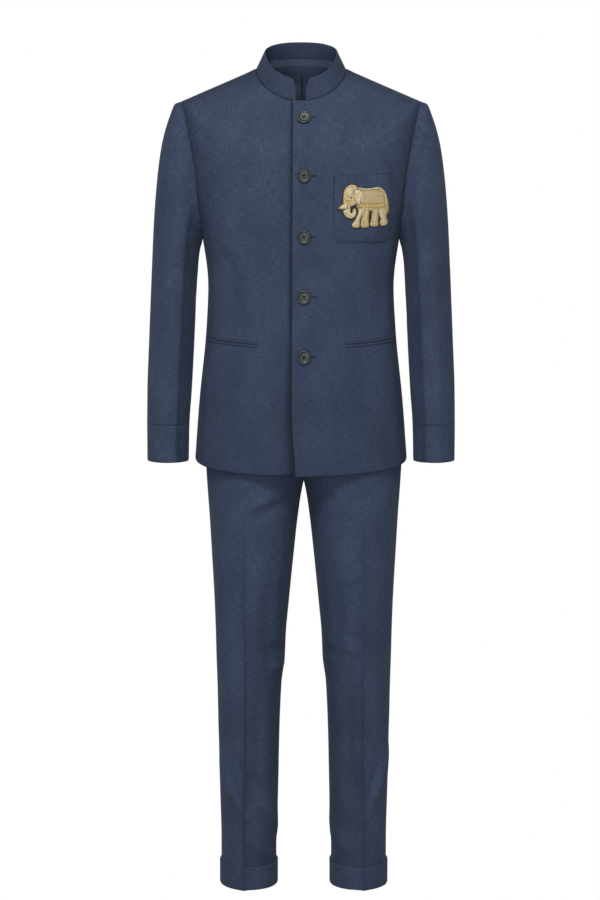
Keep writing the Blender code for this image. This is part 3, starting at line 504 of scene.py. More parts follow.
def blend(tree, share, first, second):
    """Two colours, each a hex code or a socket, from the first at a share of 0 to the second at 1."""
    made = add_node(tree, "ShaderNodeMix", {"data_type": "RGBA"}, {0: share})
    for k, colour in ((6, first), (7, second)):
        if isinstance(colour, str):
            made.inputs[k].default_value = linear_colour(colour)
        else:
            tree.links.new(colour, made.inputs[k])
    return made.outputs[2]


def three_tones(tree, share, dark, middle, light):
    """A ramp through three colours, each given with the share at which it stands."""
    ramp = add_node(tree, "ShaderNodeValToRGB", {}, {"Fac": share})
    stops = ramp.color_ramp.elements
    for stop, (place, colour) in ((stops[0], dark), (stops[1], light)):
        stop.position, stop.color = place, linear_colour(colour)
    stops.new(middle[0]).color = linear_colour(middle[1])
    return ramp.outputs[0]


def give_relief(tree, shader, height, strength, distance):
    """Fine relief on the shader's surface, its depth in metres."""
    bump = add_node(tree, "ShaderNodeBump", {"Strength": strength, "Distance": distance}, {"Height": height})
    tree.links.new(bump.outputs[0], shader.inputs["Normal"])


def give_roughness(tree, shader, value, first, last):
    """A roughness that goes from first to last as the value goes from 0 to 1."""
    rough = add_node(tree, "ShaderNodeMapRange", {"To Min": first, "To Max": last}, {"Value": value})
    tree.links.new(rough.outputs[0], shader.inputs["Roughness"])


def slub_linen(name, shade, deep, light, pressed):
    """Mid-weight plain-weave linen, yarn-dyed and softly pressed. Thick and thin yarns leave fine
    streaks both ways, longer across, and the cloth is matt with a faint bloom at grazing angles.
    Its threads lie 0.55 mm apart, too fine to show, so the weave is drawn at 1.1 mm."""
    weave, weft, warp, patch = 1.1, (13.0, 1.0), (1.1, 19.0), 55.0
    material, tree, shader = start_material(name, {
        "Specular IOR Level": 0.25, "Sheen Weight": 0.12, "Sheen Roughness": 0.45,
        "Sheen Tint": linear_colour("#aab8d0"),
    })
    mm = cloth_in_mm(tree)

    def stretched(size_u, size_v, detail, rough, offset):
        spread = add_node(
            tree, "ShaderNodeMapping",
            {"Scale": (1 / size_u, 1 / size_v, 1.0), "Location": (offset, offset * 1.7, 0.0)},
            {"Vector": mm},
        )
        return add_node(
            tree, "ShaderNodeTexNoise",
            {"noise_dimensions": "2D", "Scale": 1.0, "Detail": detail, "Roughness": rough},
            {"Vector": spread.outputs[0]},
        ).outputs[0]

    def maths(operation, first, second):
        made = add_node(tree, "ShaderNodeMath", {"operation": operation})
        for k, value in enumerate((first, second)):
            if isinstance(value, float):
                made.inputs[k].default_value = value
            else:
                tree.links.new(value, made.inputs[k])
        return made.outputs[0]

    across = stretched(*weft, 2.0, 0.62, 3.1)
    along = stretched(*warp, 2.0, 0.6, 11.7)
    cloud = stretched(patch, patch * 1.4, 3.0, 0.55, 23.9)
    threads = []
    for direction in ("X", "Y"):
        wave = add_node(
            tree, "ShaderNodeTexWave",
            {"bands_direction": direction, "Scale": math.pi / 10 / weave, "Distortion": 0.35, "Detail": 1.0,
             "Detail Scale": 0.6},
            {"Vector": mm},
        )
        threads.append(wave.outputs["Fac"])
    grid = maths("MULTIPLY", *threads)
    streaks = maths("ADD", maths("MULTIPLY", across, 0.95), maths("MULTIPLY", along, 0.6))
    mixed = maths("ADD", streaks, maths("MULTIPLY", cloud, 0.4))
    mixed = maths("ADD", mixed, maths("MULTIPLY", grid, 0.16))
    tones = three_tones(tree, maths("MULTIPLY", mixed, 0.5), (0.33, deep), (0.515, shade), (0.70, light))
    # The seam attribute blends the cloth towards the dark colour: seam lines, partly painted shade, and
    # painted shade
    near = add_node(tree, "ShaderNodeAttribute", {"attribute_name": "seam"})
    seam_and_shade_tone = blend(tree, maths("MULTIPLY", near.outputs["Fac"], 0.95), tones, pressed)
    tree.links.new(seam_and_shade_tone, shader.inputs["Base Color"])
    relief = maths("ADD", maths("MULTIPLY", grid, 0.45), maths("MULTIPLY", streaks, 0.5))
    give_relief(tree, shader, relief, 0.55, 0.00025)
    give_roughness(tree, shader, across, 0.78, 0.92)
    return material


# The last colour is the dark of seam lines and painted shade
linen = slub_linen("navy_slub_linen", "#364158", "#2a344b", "#48556d", "#171d2c")
bodies = {}


def shoulder_fade():
    """How deep each row's seams are: less at the shoulder tip, where the sleeve runs on smoothly."""
    station = np.array([s for s, _ in body_stations()])
    return (1.0 - 0.8 * hump(station - SHOULDER_TIP, 0.3))[:, None]


def shape_front(over):
    """A front with its creases, seams and turned edges, and the shade beside the lapped edge."""
    grid = eased(front_grid(over), BODY_EASING)
    if not over:
        grid = mirrored(grid)
    normals = normals_of(grid, (0.0, 0.0))
    x, z = grid[..., 0], grid[..., 2]
    rise = crease_rise(x, z, FRONT_CREASES)
    from_edge, from_side = run_lengths(grid, 1)
    from_neck, from_hem = run_lengths(grid, 0)
    rise = rise * np.clip(from_edge / 30.0, 0.15, 1.0) * grown(from_side, SEAM_PLAIN)
    rise = rise * grown(from_neck, NECK_PLAIN)
    rise += seam_groove(from_side) * shoulder_fade() + 0.5 * seam_groove(from_neck)
    turned_edge = hump(np.minimum(from_edge, from_hem), EDGE_TURN)
    rise -= EDGE_DROP * turned_edge
    # Seam lines and turned edges are darkened, partly as painted shade; painted shade also lies near the side
    # seams and on the skirt
    seams = hump(np.minimum(from_side, from_neck + 2.2), SEAM_DARK_WIDTH) + 0.5 * turned_edge
    seams = np.maximum(seams, SIDE_SHADE * hump(from_side, 30.0))
    seams = np.maximum(seams, SKIRT_SHADE * grown(z + 440.0, -170.0))
    if over:
        share = grown(z + 560.0, -150.0)
        rise += 1.3 * hump(from_edge, 9.0)
        rise += 2.4 * share * share * hump(from_edge, 26.0)
    else:
        under = grown(LAP_START + x, LAP_START - LAP_FULL)
        rise -= LAP_DEPTH * smooth(under)
        past = [between(FRONT_EDGE, EDGE_COLUMNS, s)["past_centre"] for s, _ in body_stations()]
        beside = np.maximum(-x - np.array(past)[:, None], 0.0)
        shade = np.interp(-z, SHADE_DOWN, SHADE_WIDE)
        # The under front sinks beside the lapped edge and takes painted shade there
        hollow_and_shade = hump(beside, shade)
        rise -= 2.0 * hollow_and_shade
        seams = np.maximum(seams, hollow_and_shade)
    shaped = grid + normals * rise[..., None]
    near_corner = hump(from_hem, 30.0) * hump(from_edge, 60.0)
    shaped[..., 2] += (-1.6 if over else 2.6) * near_corner
    return shaped, normals, seams


def shape_back(side):
    """Half the back, with its creases, seams and allowances."""
    grid = eased(back_grid(), BODY_EASING)
    if side == "right":
        grid = mirrored(grid)
    normals = normals_of(grid, (0.0, 0.0))
    rise = crease_rise(grid[..., 0], grid[..., 2], BACK_CREASES)
    from_middle, from_side = run_lengths(grid, 1)
    from_neck, from_hem = run_lengths(grid, 0)
    rise = rise * grown(from_middle, SEAM_PLAIN) * grown(from_side, SEAM_PLAIN)
    rise = rise * grown(from_neck, NECK_PLAIN)
    rise += seam_groove(from_side) * shoulder_fade() + seam_groove(from_neck) + seam_groove(from_middle)
    turned_edge = hump(from_hem, EDGE_TURN)
    rise -= EDGE_DROP * turned_edge
    away = np.minimum(np.minimum(from_side, from_neck), from_middle)
    # Seam lines and the turned hem are darkened, partly as painted shade
    panel = grid + normals * rise[..., None], normals, hump(away, SEAM_DARK_WIDTH) + 0.5 * turned_edge
    open_rows = np.array([share in (0.0, 1.0) for _, share in body_stations()])
    return underlapped(panel, ALLOWANCE if side == "right" else 0.0, np.where(open_rows, ALLOWANCE, 0.2))


for name, shaped, flat, area in (
    ("front_left", shape_front(over=True), (0.284, 0.752), 0.17),
    ("front_right", shape_front(over=False), (0.289, 0.752), 0.173),
    ("back_left", shape_back("left"), (0.295, 0.749), 0.162),
    ("back_right", shape_back("right"), (0.306, 0.737), 0.166),
):
    bodies[name] = sewn_panel("cloth_" + name, *shaped, linen)
    stands_for(bodies[name], name, flat=flat, area=area, held="hung")


# Sleeves and cuffs
# Each sleeve is cut in two, a top and an under sleeve, joined along the forearm and the elbow, and
# its end is a band sewn on below the wrist. The head is eased into the armhole, and the front is
# pressed to a soft edge. outer and inner are the two ends of each ring, seen from the front.
SLEEVE_COLUMNS = ("station", "outer_x", "outer_z", "inner_x", "inner_z", "half_depth", "centre_y")
SLEEVE_RINGS = (
    (0, 213.0, -57.0, 176.0, -305.0, 62.0, 4.0),
    (1, 225.0, -61.5, 177.6, -309.0, 65.0, 4.0),
    (2, 237.0, -88.0, 179.2, -314.0, 68.0, 4.0),
    (3, 249.0, -130.0, 180.8, -320.0, 70.0, 4.0),
    (4, 257.0, -182.0, 182.4, -329.0, 71.0, 5.0),
    (5, 264.5, -268.0, 185.0, -352.0, 70.5, 6.0),
    (6, 269.5, -370.0, 188.2, -402.0, 68.0, 7.0),
    (7, 274.3, -482.0, 192.3, -490.0, 63.5, 5.0),
    (8, 277.7, -575.0, 197.0, -577.0, 58.0, -3.0),
    (9, 278.0, -633.0, 201.0, -633.5, 53.5, -10.0),
    (10, 277.5, -700.5, 202.3, -701.0, 51.0, -16.0),
)
CUFF_SEAM, CUFF_EDGE = 9, 10
SLEEVE_POWER = 1.9
ARMHOLE_FADE = 4.0
FOREARM_SEAM, ELBOW_SEAM = 135.0, 247.5
SLEEVE_ROWS, CUFF_ROWS, SLEEVE_EASING = 116, 14, 12
TOP_COLUMNS, UNDER_COLUMNS = 62, 34
PRESSED_EDGE, PRESS_RISE = 114.0, 5.0

# Creases round a sleeve: x is the turn in degrees, about 1 mm each, from the outermost line by the
# front at 90, and z is the height in mm
SLEEVE_CREASES = {
    "left": (
        (52.0, -120.0, 36.0, -205.0, 20.0, -3.0),
        (100.0, -150.0, 112.0, -300.0, 12.0, 2.0),
        (66.0, -318.0, 120.0, -340.0, 8.0, -1.6),
        (58.0, -352.0, 126.0, -372.0, 8.0, 1.9),
        (82.0, -392.0, 132.0, -410.0, 7.0, -1.9),
        (150.0, -330.0, 214.0, -366.0, 9.0, -0.3),
        (146.0, -382.0, 206.0, -404.0, 9.0, 0.3),
        (148.0, -432.0, 210.0, -452.0, 8.0, -0.3),
        (28.0, -260.0, 34.0, -600.0, 20.0, -1.8),
        (74.0, -470.0, 82.0, -640.0, 16.0, 1.5),
        (286.0, -240.0, 292.0, -560.0, 24.0, -2.2),
        (232.0, -300.0, 300.0, -420.0, 10.0, 1.9),
    ),
    "right": (
        (62.0, -112.0, 42.0, -198.0, 22.0, -3.5),
        (108.0, -165.0, 116.0, -390.0, 13.0, 2.4),
        (72.0, -350.0, 128.0, -368.0, 7.0, -2.1),
        (60.0, -384.0, 130.0, -398.0, 8.0, 1.8),
        (78.0, -420.0, 132.0, -436.0, 7.0, -1.9),
        (152.0, -346.0, 212.0, -370.0, 9.0, 0.3),
        (148.0, -400.0, 216.0, -430.0, 9.0, -0.4),
        (34.0, -300.0, 40.0, -580.0, 18.0, -2.0),
        (66.0, -500.0, 74.0, -650.0, 15.0, 1.6),
        (290.0, -220.0, 284.0, -540.0, 22.0, -2.1),
        (228.0, -350.0, 296.0, -440.0, 11.0, 2.1),
    ),
}


def armhole_point(turn):
    """The armhole's line: from the shoulder tip by the front to the underarm, and back up behind."""
    side, reach = ("front", ARMHOLE_FRONT) if turn <= 180 else ("back", ARMHOLE_BACK)
    share = turn / 180 if turn <= 180 else 2 - turn / 180
    station = SHOULDER_TIP + (UNDERARM - SHOULDER_TIP) * (1 - math.cos(math.pi * share)) / 2
    ring = between(BODY_RINGS, BODY_COLUMNS, station)
    angle = angle_at_depth(ring, reach * math.sin(math.pi * share), side)
    return ring_points(ring, np.array([angle]))[0]


def tucked_in(turn):
    """How the sleeve's seam allowance goes from the armhole into the jacket."""
    share = turn / 180 if turn <= 180 else 2 - turn / 180
    back = 1 if turn <= 180 else -1
    return np.array([-6.2 + 3 * share, 2.5 * back * math.sin(math.pi * share), -3.0 - 3 * share])


def sleeve_oval(station, turns):
    """Points round a sleeve ring: 0 is outermost and 90 the front."""
    ring = between(SLEEVE_RINGS, SLEEVE_COLUMNS, station)
    outer = np.array([ring["outer_x"], 0.0, ring["outer_z"]])
    inner = np.array([ring["inner_x"], 0.0, ring["inner_z"]])
    along = signed_power(np.cos(np.radians(turns)), 2 / SLEEVE_POWER)
    points = (outer + inner) / 2 + (outer - inner) / 2 * along[:, None]
    deep = ring["half_depth"] * signed_power(np.sin(np.radians(turns)), 2 / SLEEVE_POWER)
    points[:, 1] = ring["centre_y"] - deep
    return points


def sleeve_grid(stations, turns):
    """The sleeve's rings, whose first lies on the armhole and whose next are drawn towards it."""
    away = np.array([armhole_point(turn % 360) for turn in turns]) - sleeve_oval(0.0, turns)
    return np.array([sleeve_oval(s, turns) + max(1 - s / ARMHOLE_FADE, 0.0) ** 2 * away for s in stations])


def close_at_ends(first, last, near, count):
    """Values from first to last, close together at both ends and evenly spaced between."""
    near = np.array(near)
    middle = np.linspace(first + near[-1], last - near[-1], count)
    return np.concatenate([first + near[:-1], middle, last - near[-2::-1]])


def shape_sleeve(side, stations, turns, seamed_top):
    """A sleeve piece with its creases, its pressed edge and the allowances of its seams."""
    grid = eased(sleeve_grid(stations, turns), SLEEVE_EASING)
    normals = normals_of(grid, (grid[..., 0].mean(), 0.0))
    round_it = np.broadcast_to(turns % 360, grid.shape[:2])
    z = grid[..., 2]
    rise = crease_rise(round_it, z, SLEEVE_CREASES[side])
    from_first, from_last = run_lengths(grid, 1)
    from_top, from_low = run_lengths(grid, 0)
    rise = rise * grown(from_top, 30.0) if seamed_top == "armhole" else rise
    press = smooth(grown(-140.0 - z, 160.0))
    past_press = round_it - PRESSED_EDGE
    rise = rise + PRESS_RISE * press * np.exp(-np.abs(past_press) / np.where(past_press > 0, 9.0, 16.0))
    head = np.clip(np.cos(np.radians(round_it)), 0.0, 1.0)
    if seamed_top == "armhole":
        rise += seam_groove(from_top, 1.0) * (1.0 - 0.8 * head**4)
        rise += 0.7 * head * hump(from_top - 11.0, 8.0)
    else:
        rise += seam_groove(from_top, 0.12)
    if stations[-1] > CUFF_SEAM:
        rise -= EDGE_DROP * hump(from_low, EDGE_TURN)
    else:
        rise += seam_groove(from_low, 0.12)
    away = np.minimum(from_first, from_last)
    rise += seam_groove(away, 0.4)
    shaped = grid + normals * rise[..., None]
    across = from_top if stations[-1] > CUFF_SEAM else from_low
    # Seam lines darken, partly as painted shade, and painted shade lies on the inner side past the pressed
    # edge
    seams = np.maximum(0.1 * hump(across, SEAM_DARK_WIDTH), 0.35 * hump(away, SEAM_DARK_WIDTH))
    inner_side_shade = press * hump(past_press, np.where(past_press > 0, 15.0, 4.0))
    seams = np.maximum(seams, 0.22 * inner_side_shade)
    if seamed_top == "armhole":
        seams = np.maximum(seams, 0.8 * hump(from_top, SEAM_DARK_WIDTH))
        allowance = np.array([tucked_in(turn % 360) for turn in turns])
        shaped = np.concatenate([[shaped[0] + allowance], shaped])
        normals = np.concatenate([normals[:1], normals])
        seams = np.concatenate([seams[:1], seams])
    if side == "right":
        shaped, normals = mirrored(shaped), mirrored(normals)
    under = ALLOWANCE if turns is not top_turns else 0.0
    return underlapped((shaped, normals, seams), under if turns is under_turns else 0.0, under)


long_stations = np.concatenate([
    (0.012, 0.07, 0.15, 0.26, 0.4, 0.58, 0.78),
    close_at_ends(1.0, CUFF_SEAM - 0.001, (0.0, 0.02, 0.05, 0.09), SLEEVE_ROWS),
])
cuff_stations = close_at_ends(CUFF_SEAM + 0.001, CUFF_EDGE, (0.0, 0.015, 0.035, 0.065), CUFF_ROWS)
near_degrees = (0.15, 1.0, 2.0, 3.4, 5.2, 7.6)
top_turns = close_at_ends(ELBOW_SEAM, FOREARM_SEAM + 360, near_degrees, TOP_COLUMNS)
under_turns = close_at_ends(FOREARM_SEAM, ELBOW_SEAM, near_degrees, UNDER_COLUMNS)
cuff_turns = close_at_ends(ELBOW_SEAM, ELBOW_SEAM + 360, near_degrees, TOP_COLUMNS + UNDER_COLUMNS)
for side in ("left", "right"):
    for name, stations, turns, top, flat, area in (
        ("sleeve_top_", long_stations, top_turns, "armhole", (0.254, 0.562), 0.125),
        ("sleeve_under_", long_stations, under_turns, "armhole", (0.142, 0.417), 0.046),
        ("cuff_", cuff_stations, cuff_turns, "band", (0.296, 0.075), 0.0195),
    ):
        piece = sewn_panel("cloth_" + name + side, *shape_sleeve(side, stations, turns, top), linen)
        stands_for(piece, name + side, flat=flat, area=area, held="hung")


# Trousers
# Two fronts and two backs of the same linen, unlined. Each leg has a sharp
# pressed crease before and behind. The seams run down the inside and the outside of the leg and
# round the seat. outer and inner are measured from the trousers' middle.
LEG_COLUMNS = ("z", "outer", "inner", "front_depth", "back_depth", "crease")
LEG_LEVELS = (
    (-500.0, 150.0, -150.0, 92.0, 86.0, 0.0),
    (-570.0, 160.0, -118.0, 95.0, 98.0, 0.0),
    (-640.0, 169.0, -70.0, 97.0, 104.5, 0.0),
    (-700.0, 177.0, -22.0, 98.0, 102.0, 0.8),
    (-740.0, 175.0, 0.0, 99.0, 100.0, 1.2),
    (-800.0, 170.8, 10.2, 98.0, 97.0, 2.0),
    (-870.0, 166.8, 18.0, 95.0, 91.0, 3.0),
    (-960.0, 162.0, 27.0, 86.0, 83.0, 4.0),
    (-1020.0, 160.0, 32.5, 79.0, 78.0, 4.6),
    (-1062.0, 159.0, 34.2, 76.0, 76.0, 5.0),
    (-1110.0, 157.4, 40.4, 74.0, 75.0, 5.2),
    (-1210.0, 155.2, 44.6, 71.0, 73.0, 5.6),
    (-1300.0, 153.3, 46.5, 69.0, 71.0, 6.0),
    (-1400.0, 150.9, 50.0, 67.0, 69.0, 6.0),
    (-1480.0, 151.0, 50.3, 66.0, 68.0, 6.0),
)
TROUSER_CLOTH = 1.4
TROUSER_SHIFT = 5.0
WAIST_Z, CROTCH_Z, LEG_END_Z = -500.0, -740.0, -1479.0
LEG_POWER = 2.05
CREASE_X, CREASE_FALL = 108.5, 7.0
HALF_LEG_COLUMNS = 22
RISE_STEP, LEG_STEP = 5.2, 5.0
LEG_RING_STEPS, LEG_EASING, LEG_SEAM_PLAIN = 240, 6, 9.0
# INNER_SHADE is painted shade on the inner side of the lower legs
LOW_CREASES, SEAT_LAP, INNER_SHADE = 0.5, 45.0, 0.2

# Creases of the legs seen from the front, x from the trousers' middle, and of the backs
LEG_CREASES = (
    (-22.0, -766.0, -112.0, -812.0, 12.0, -6.1),
    (-30.0, -742.0, -104.0, -784.0, 13.0, 4.1),
    (-84.0, -860.0, -80.0, -1130.0, 16.0, 3.1),
    (-48.0, -850.0, -55.0, -1120.0, 12.0, -4.4),
    (-98.0, -1000.0, -97.0, -1330.0, 9.0, -3.7),
    (-146.0, -1238.0, -112.0, -1345.0, 8.0, 5.1),
    (-124.0, -1225.0, -104.0, -1310.0, 9.0, -3.1),
    (-96.0, -1260.0, -82.0, -1330.0, 12.0, -5.4),
    (-92.0, -1370.0, -70.0, -1432.0, 14.0, 4.4),
    (-74.0, -918.0, -36.0, -905.0, 5.0, 2.2),
    (-60.0, -1030.0, -34.0, -1052.0, 8.0, -4.1),
    (-56.0, -1066.0, -38.0, -1080.0, 8.0, 3.7),
    (-140.0, -1020.0, -146.0, -1210.0, 12.0, 2.4),
    (-60.0, -1300.0, -46.0, -1400.0, 9.0, 3.1),
    (18.0, -752.0, 70.0, -772.0, 11.0, -4.8),
    (40.0, -744.0, 120.0, -800.0, 17.0, 3.7),
    (80.0, -850.0, 78.0, -1120.0, 16.0, 2.9),
    (44.0, -840.0, 52.0, -1110.0, 12.0, -4.1),
    (98.0, -990.0, 97.0, -1330.0, 9.0, -4.1),
    (42.0, -868.0, 84.0, -874.0, 4.0, 1.9),
    (66.0, -910.0, 104.0, -902.0, 5.0, 2.0),
    (60.0, -1012.0, 108.0, -1018.0, 6.0, -2.2),
    (64.0, -1030.0, 106.0, -1042.0, 6.0, 2.0),
    (150.0, -1215.0, 114.0, -1345.0, 8.0, 5.1),
    (134.0, -1250.0, 124.0, -1330.0, 7.0, -2.7),
    (94.0, -1240.0, 84.0, -1330.0, 12.0, -4.4),
    (62.0, -1372.0, 96.0, -1428.0, 13.0, 4.4),
    (56.0, -1036.0, 34.0, -1056.0, 8.0, -4.1),
    (142.0, -1030.0, 146.0, -1190.0, 12.0, 2.2),
    (36.0, -1300.0, 58.0, -1400.0, 9.0, 2.7),
)
BACK_LEG_CREASES = (
    (-20.0, -742.0, -120.0, -800.0, 12.0, -4.8),
    (-26.0, -772.0, -118.0, -834.0, 12.0, 3.6),
    (18.0, -746.0, 112.0, -806.0, 13.0, -4.5),
    (30.0, -778.0, 118.0, -840.0, 12.0, 3.1),
    (-70.0, -1010.0, -140.0, -1050.0, 9.0, -3.6),
    (-60.0, -1046.0, -132.0, -1072.0, 9.0, 3.4),
    (64.0, -1020.0, 138.0, -1056.0, 9.0, -3.5),
    (58.0, -1060.0, 128.0, -1078.0, 8.0, 2.8),
    (-84.0, -1330.0, -74.0, -1430.0, 13.0, -3.9),
    (-120.0, -1320.0, -132.0, -1425.0, 12.0, 3.1),
    (82.0, -1336.0, 72.0, -1430.0, 13.0, -3.6),
    (122.0, -1325.0, 132.0, -1428.0, 12.0, 3.2),
    (-96.0, -600.0, -110.0, -730.0, 26.0, 2.8),
    (98.0, -610.0, 106.0, -730.0, 26.0, 2.5),
)


def pressed_x(z):
    """Where the pressed crease runs, which wanders a little down the leg."""
    return CREASE_X + 1.3 * math.sin(z / 80.0) + 0.6 * math.sin(z / 31.0 + 1.0)


def leg_points(section, turns, side):
    """Points round a leg: 0 is the inseam and half a turn the side seam, by the front or the back."""
    middle = (section["outer"] + section["inner"]) / 2
    half = (section["outer"] - section["inner"]) / 2
    x = middle - half * signed_power(np.cos(turns), 2 / LEG_POWER)
    depth = section[side + "_depth"] * signed_power(np.sin(turns), 2 / LEG_POWER)
    past = x - pressed_x(section["z"])
    ridge = np.exp(-np.abs(past) / np.where(past < 0, CREASE_FALL, 2.6 * CREASE_FALL))
    y = depth + section["crease"] * ridge * np.sin(turns)
    return np.stack([x, -y if side == "front" else y, np.full_like(x, section["z"])], axis=-1)


def leg_turn(section, x):
    """The turn at which a leg's ring reaches x."""
    middle = (section["outer"] + section["inner"]) / 2
    half = (section["outer"] - section["inner"]) / 2
    return math.acos(signed_power(min(max((middle - x) / half, -1.0), 1.0), LEG_POWER / 2))


def leg_row(z, side):
    """One row of a trouser panel: from the seat seam or inseam, over the crease, to the side seam."""
    section = between(LEG_LEVELS, LEG_COLUMNS, z)
    start = leg_turn(section, 0.0) if section["inner"] < 0 else 0.0
    crease = leg_turn(section, pressed_x(z))
    parts = []
    for low, high in ((start, crease), (crease, math.pi)):
        line = leg_points(section, np.linspace(low, high, LEG_RING_STEPS), side)
        parts.append(placed_along(line, HALF_LEG_COLUMNS + 2 * len(NEAR_SEAM) - 2))
    crease_point = leg_points(section, np.array([crease]), side)
    return np.concatenate([parts[0], crease_point, parts[1]])


def leg_heights():
    """The heights of a leg's rows, from the waist to the foot."""
    rise = np.arange(WAIST_Z, CROTCH_Z, -RISE_STEP)
    fall = np.arange(CROTCH_Z, LEG_END_Z, -LEG_STEP)
    return np.concatenate([rise, fall, [LEG_END_Z]])


def shape_leg(side, half):
    """Half a leg, with its creases, the pressed one along its middle, and the allowances of the back."""
    heights = leg_heights()
    grid = eased(np.array([leg_row(z, half) for z in heights]), LEG_EASING)
    middle_column = grid.shape[1] // 2
    section_crease = np.array([between(LEG_LEVELS, LEG_COLUMNS, z)["crease"] for z in heights])
    if side == "right":
        grid = mirrored(grid)
    sign = 1.0 if side == "left" else -1.0
    normals = normals_of(grid, (sign * 90.0, 0.0))
    creases = LEG_CREASES if half == "front" else BACK_LEG_CREASES
    rise = crease_rise(grid[..., 0], grid[..., 2], creases)
    rise = rise * (1.0 + LOW_CREASES * grown(CROTCH_Z - 200.0 - grid[..., 2], 200.0))
    from_inseam, from_side = run_lengths(grid, 1)
    rise = rise * grown(from_inseam, LEG_SEAM_PLAIN) * grown(from_side, LEG_SEAM_PLAIN)
    from_crease = np.abs(from_inseam - from_inseam[:, [middle_column]])
    rise = rise * np.clip(from_crease / 14.0, 0.3, 1.0)
    rise += (0.22 * section_crease)[:, None] * np.exp(-from_crease / 2.6)
    inside = from_inseam[:, [middle_column]] - from_inseam
    rise -= (0.34 * section_crease)[:, None] * hump(inside - 9.0, 7.0)
    away = np.minimum(from_inseam, from_side)
    rise += seam_groove(away, 0.7)
    # Painted shade just inside the pressed crease and, with INNER_SHADE, on the inner side of the lower leg;
    # seam lines darken too
    pressed = (section_crease / 6.0)[:, None] * np.where(inside > 0, hump(inside, 5.0), 0.0)
    seams = np.maximum(hump(away, SEAM_DARK_WIDTH), 0.45 * pressed)
    low = grown(CROTCH_Z - 150.0 - grid[..., 2], 250.0) * np.clip(1.0 + inside / 6.0, 0.0, 1.0)
    seams = np.maximum(seams, INNER_SHADE * low)
    shaped = grid + normals * rise[..., None] + np.array([TROUSER_SHIFT, 0.0, 0.0])
    if half == "front":
        return shaped, normals, seams
    inseam = np.where(heights < CROTCH_Z + SEAT_LAP, 5.0, 0.2)
    return underlapped((shaped, normals, seams), inseam, 4.0, TROUSER_CLOTH)


for side in ("left", "right"):
    for half, flat, area in (("front", (0.298, 0.989), 0.223), ("back", (0.278, 1.005), 0.232)):
        name = "trouser_" + half + "_" + side
        piece = sewn_panel("cloth_" + name, *shape_leg(side, half), linen, cloth=TROUSER_CLOTH)
        stands_for(piece, name, flat=flat, area=area, held="hung")


# Turn-ups
# The foot of each leg is folded up outside itself, pressed, and caught down at the side seam and the
# inseam, so a turn-up stands a little away from the leg between them.
TURN_UP_TOP, TURN_UP_BOTTOM = -1438.0, -1481.0
TURN_UP_CLOTH, TURN_UP_GAP = 2.4, 0.5
TURN_UP_ROWS = 14


def shape_turn_up(side):
    """A band right round the leg's foot, caught down at both seams and free between them."""
    heights = close_at_ends(TURN_UP_TOP, TURN_UP_BOTTOM, (0.0, -0.5, -1.1, -2.0, -3.4), TURN_UP_ROWS)
    foot = np.concatenate([leg_row(TURN_UP_TOP, "front"), leg_row(TURN_UP_TOP, "back")[::-1]])
    grid = np.array([foot * np.array([1.0, 1.0, 0.0]) + np.array([0.0, 0.0, z]) for z in heights])
    if side == "right":
        grid = mirrored(grid)
    sign = 1.0 if side == "left" else -1.0
    normals = normals_of(grid, (sign * 100.0, 0.0))
    from_first, from_last = run_lengths(grid, 1)
    side_seam = grid.shape[1] // 2
    from_side = np.abs(from_first - from_first[:, [side_seam]])
    away = np.minimum(np.minimum(from_first, from_last), from_side)
    from_top, from_low = run_lengths(grid, 0)
    rise = TURN_UP_GAP + TURN_UP_CLOTH + seam_groove(away, 0.7)
    free = grown(away, 40.0)
    rise += free * (0.9 * hump(from_top, 9.0) + 0.5 * np.sin(from_first / 31.0 + sign))
    rise -= 0.8 * hump(from_low, 1.6) + 0.5 * hump(from_top, 1.0)
    # Seam lines darken, with painted shade along the folded foot and the crease
    seams = hump(away, SEAM_DARK_WIDTH) + 0.5 * hump(from_low, 1.4)
    at_crease = np.abs(np.abs(grid[..., 0]) - pressed_x(TURN_UP_TOP))
    rise += 1.1 * np.exp(-at_crease / 6.0)
    seams = np.maximum(seams, 0.3 * hump(at_crease, 2.0))
    return grid + normals * rise[..., None] + np.array([TROUSER_SHIFT, 0.0, 0.0]), normals, seams


for side in ("left", "right"):
    piece = sewn_panel("cloth_turn_up_" + side, *shape_turn_up(side), linen, cloth=TURN_UP_CLOTH)
    stands_for(piece, "turn_up_" + side, flat=(0.405, 0.052), area=0.0174, held="folded")


# Waistband and fly
# A straight band of linen on the trousers' top edge, its left end lapped over the right. The fly is a
# flap of the same linen behind the front seam. The jacket hides both.
WAISTBAND_TOP, WAISTBAND_LOW = -462.0, -499.7
WAISTBAND_FROM, WAISTBAND_TO = -9.0, 376.0
TUCK_FROM, TUCK_FULL, TUCK_DEPTH = 325.0, 349.0, 2.3
WAISTBAND_COLUMNS, WAISTBAND_ROWS = 230, 9
FLY_LEFT, FLY_RIGHT, FLY_TOP, FLY_LOW = 7.0, 41.0, -503.0, -650.0
FLY_COLUMNS, FLY_ROWS, FLY_GAP = 12, 38, 0.6
BEFORE_SUIT = -150.0


def cloth_surface(piece):
    """The outer face of a cloth piece in mm, to seat other pieces on."""
    points = [corner.co * 1000.0 for corner in piece.data.vertices]
    return BVHTree.FromPolygons(points, [tuple(face.vertices) for face in piece.data.polygons])


def seated(surface, point, outward, gap):
    """The point of a surface straight behind a place in front of it, moved out by a gap."""
    outward = Vector(outward).normalized()
    hit = surface.ray_cast(Vector(point) + outward * 60.0, -outward)[0]
    return np.array(hit + outward * gap)


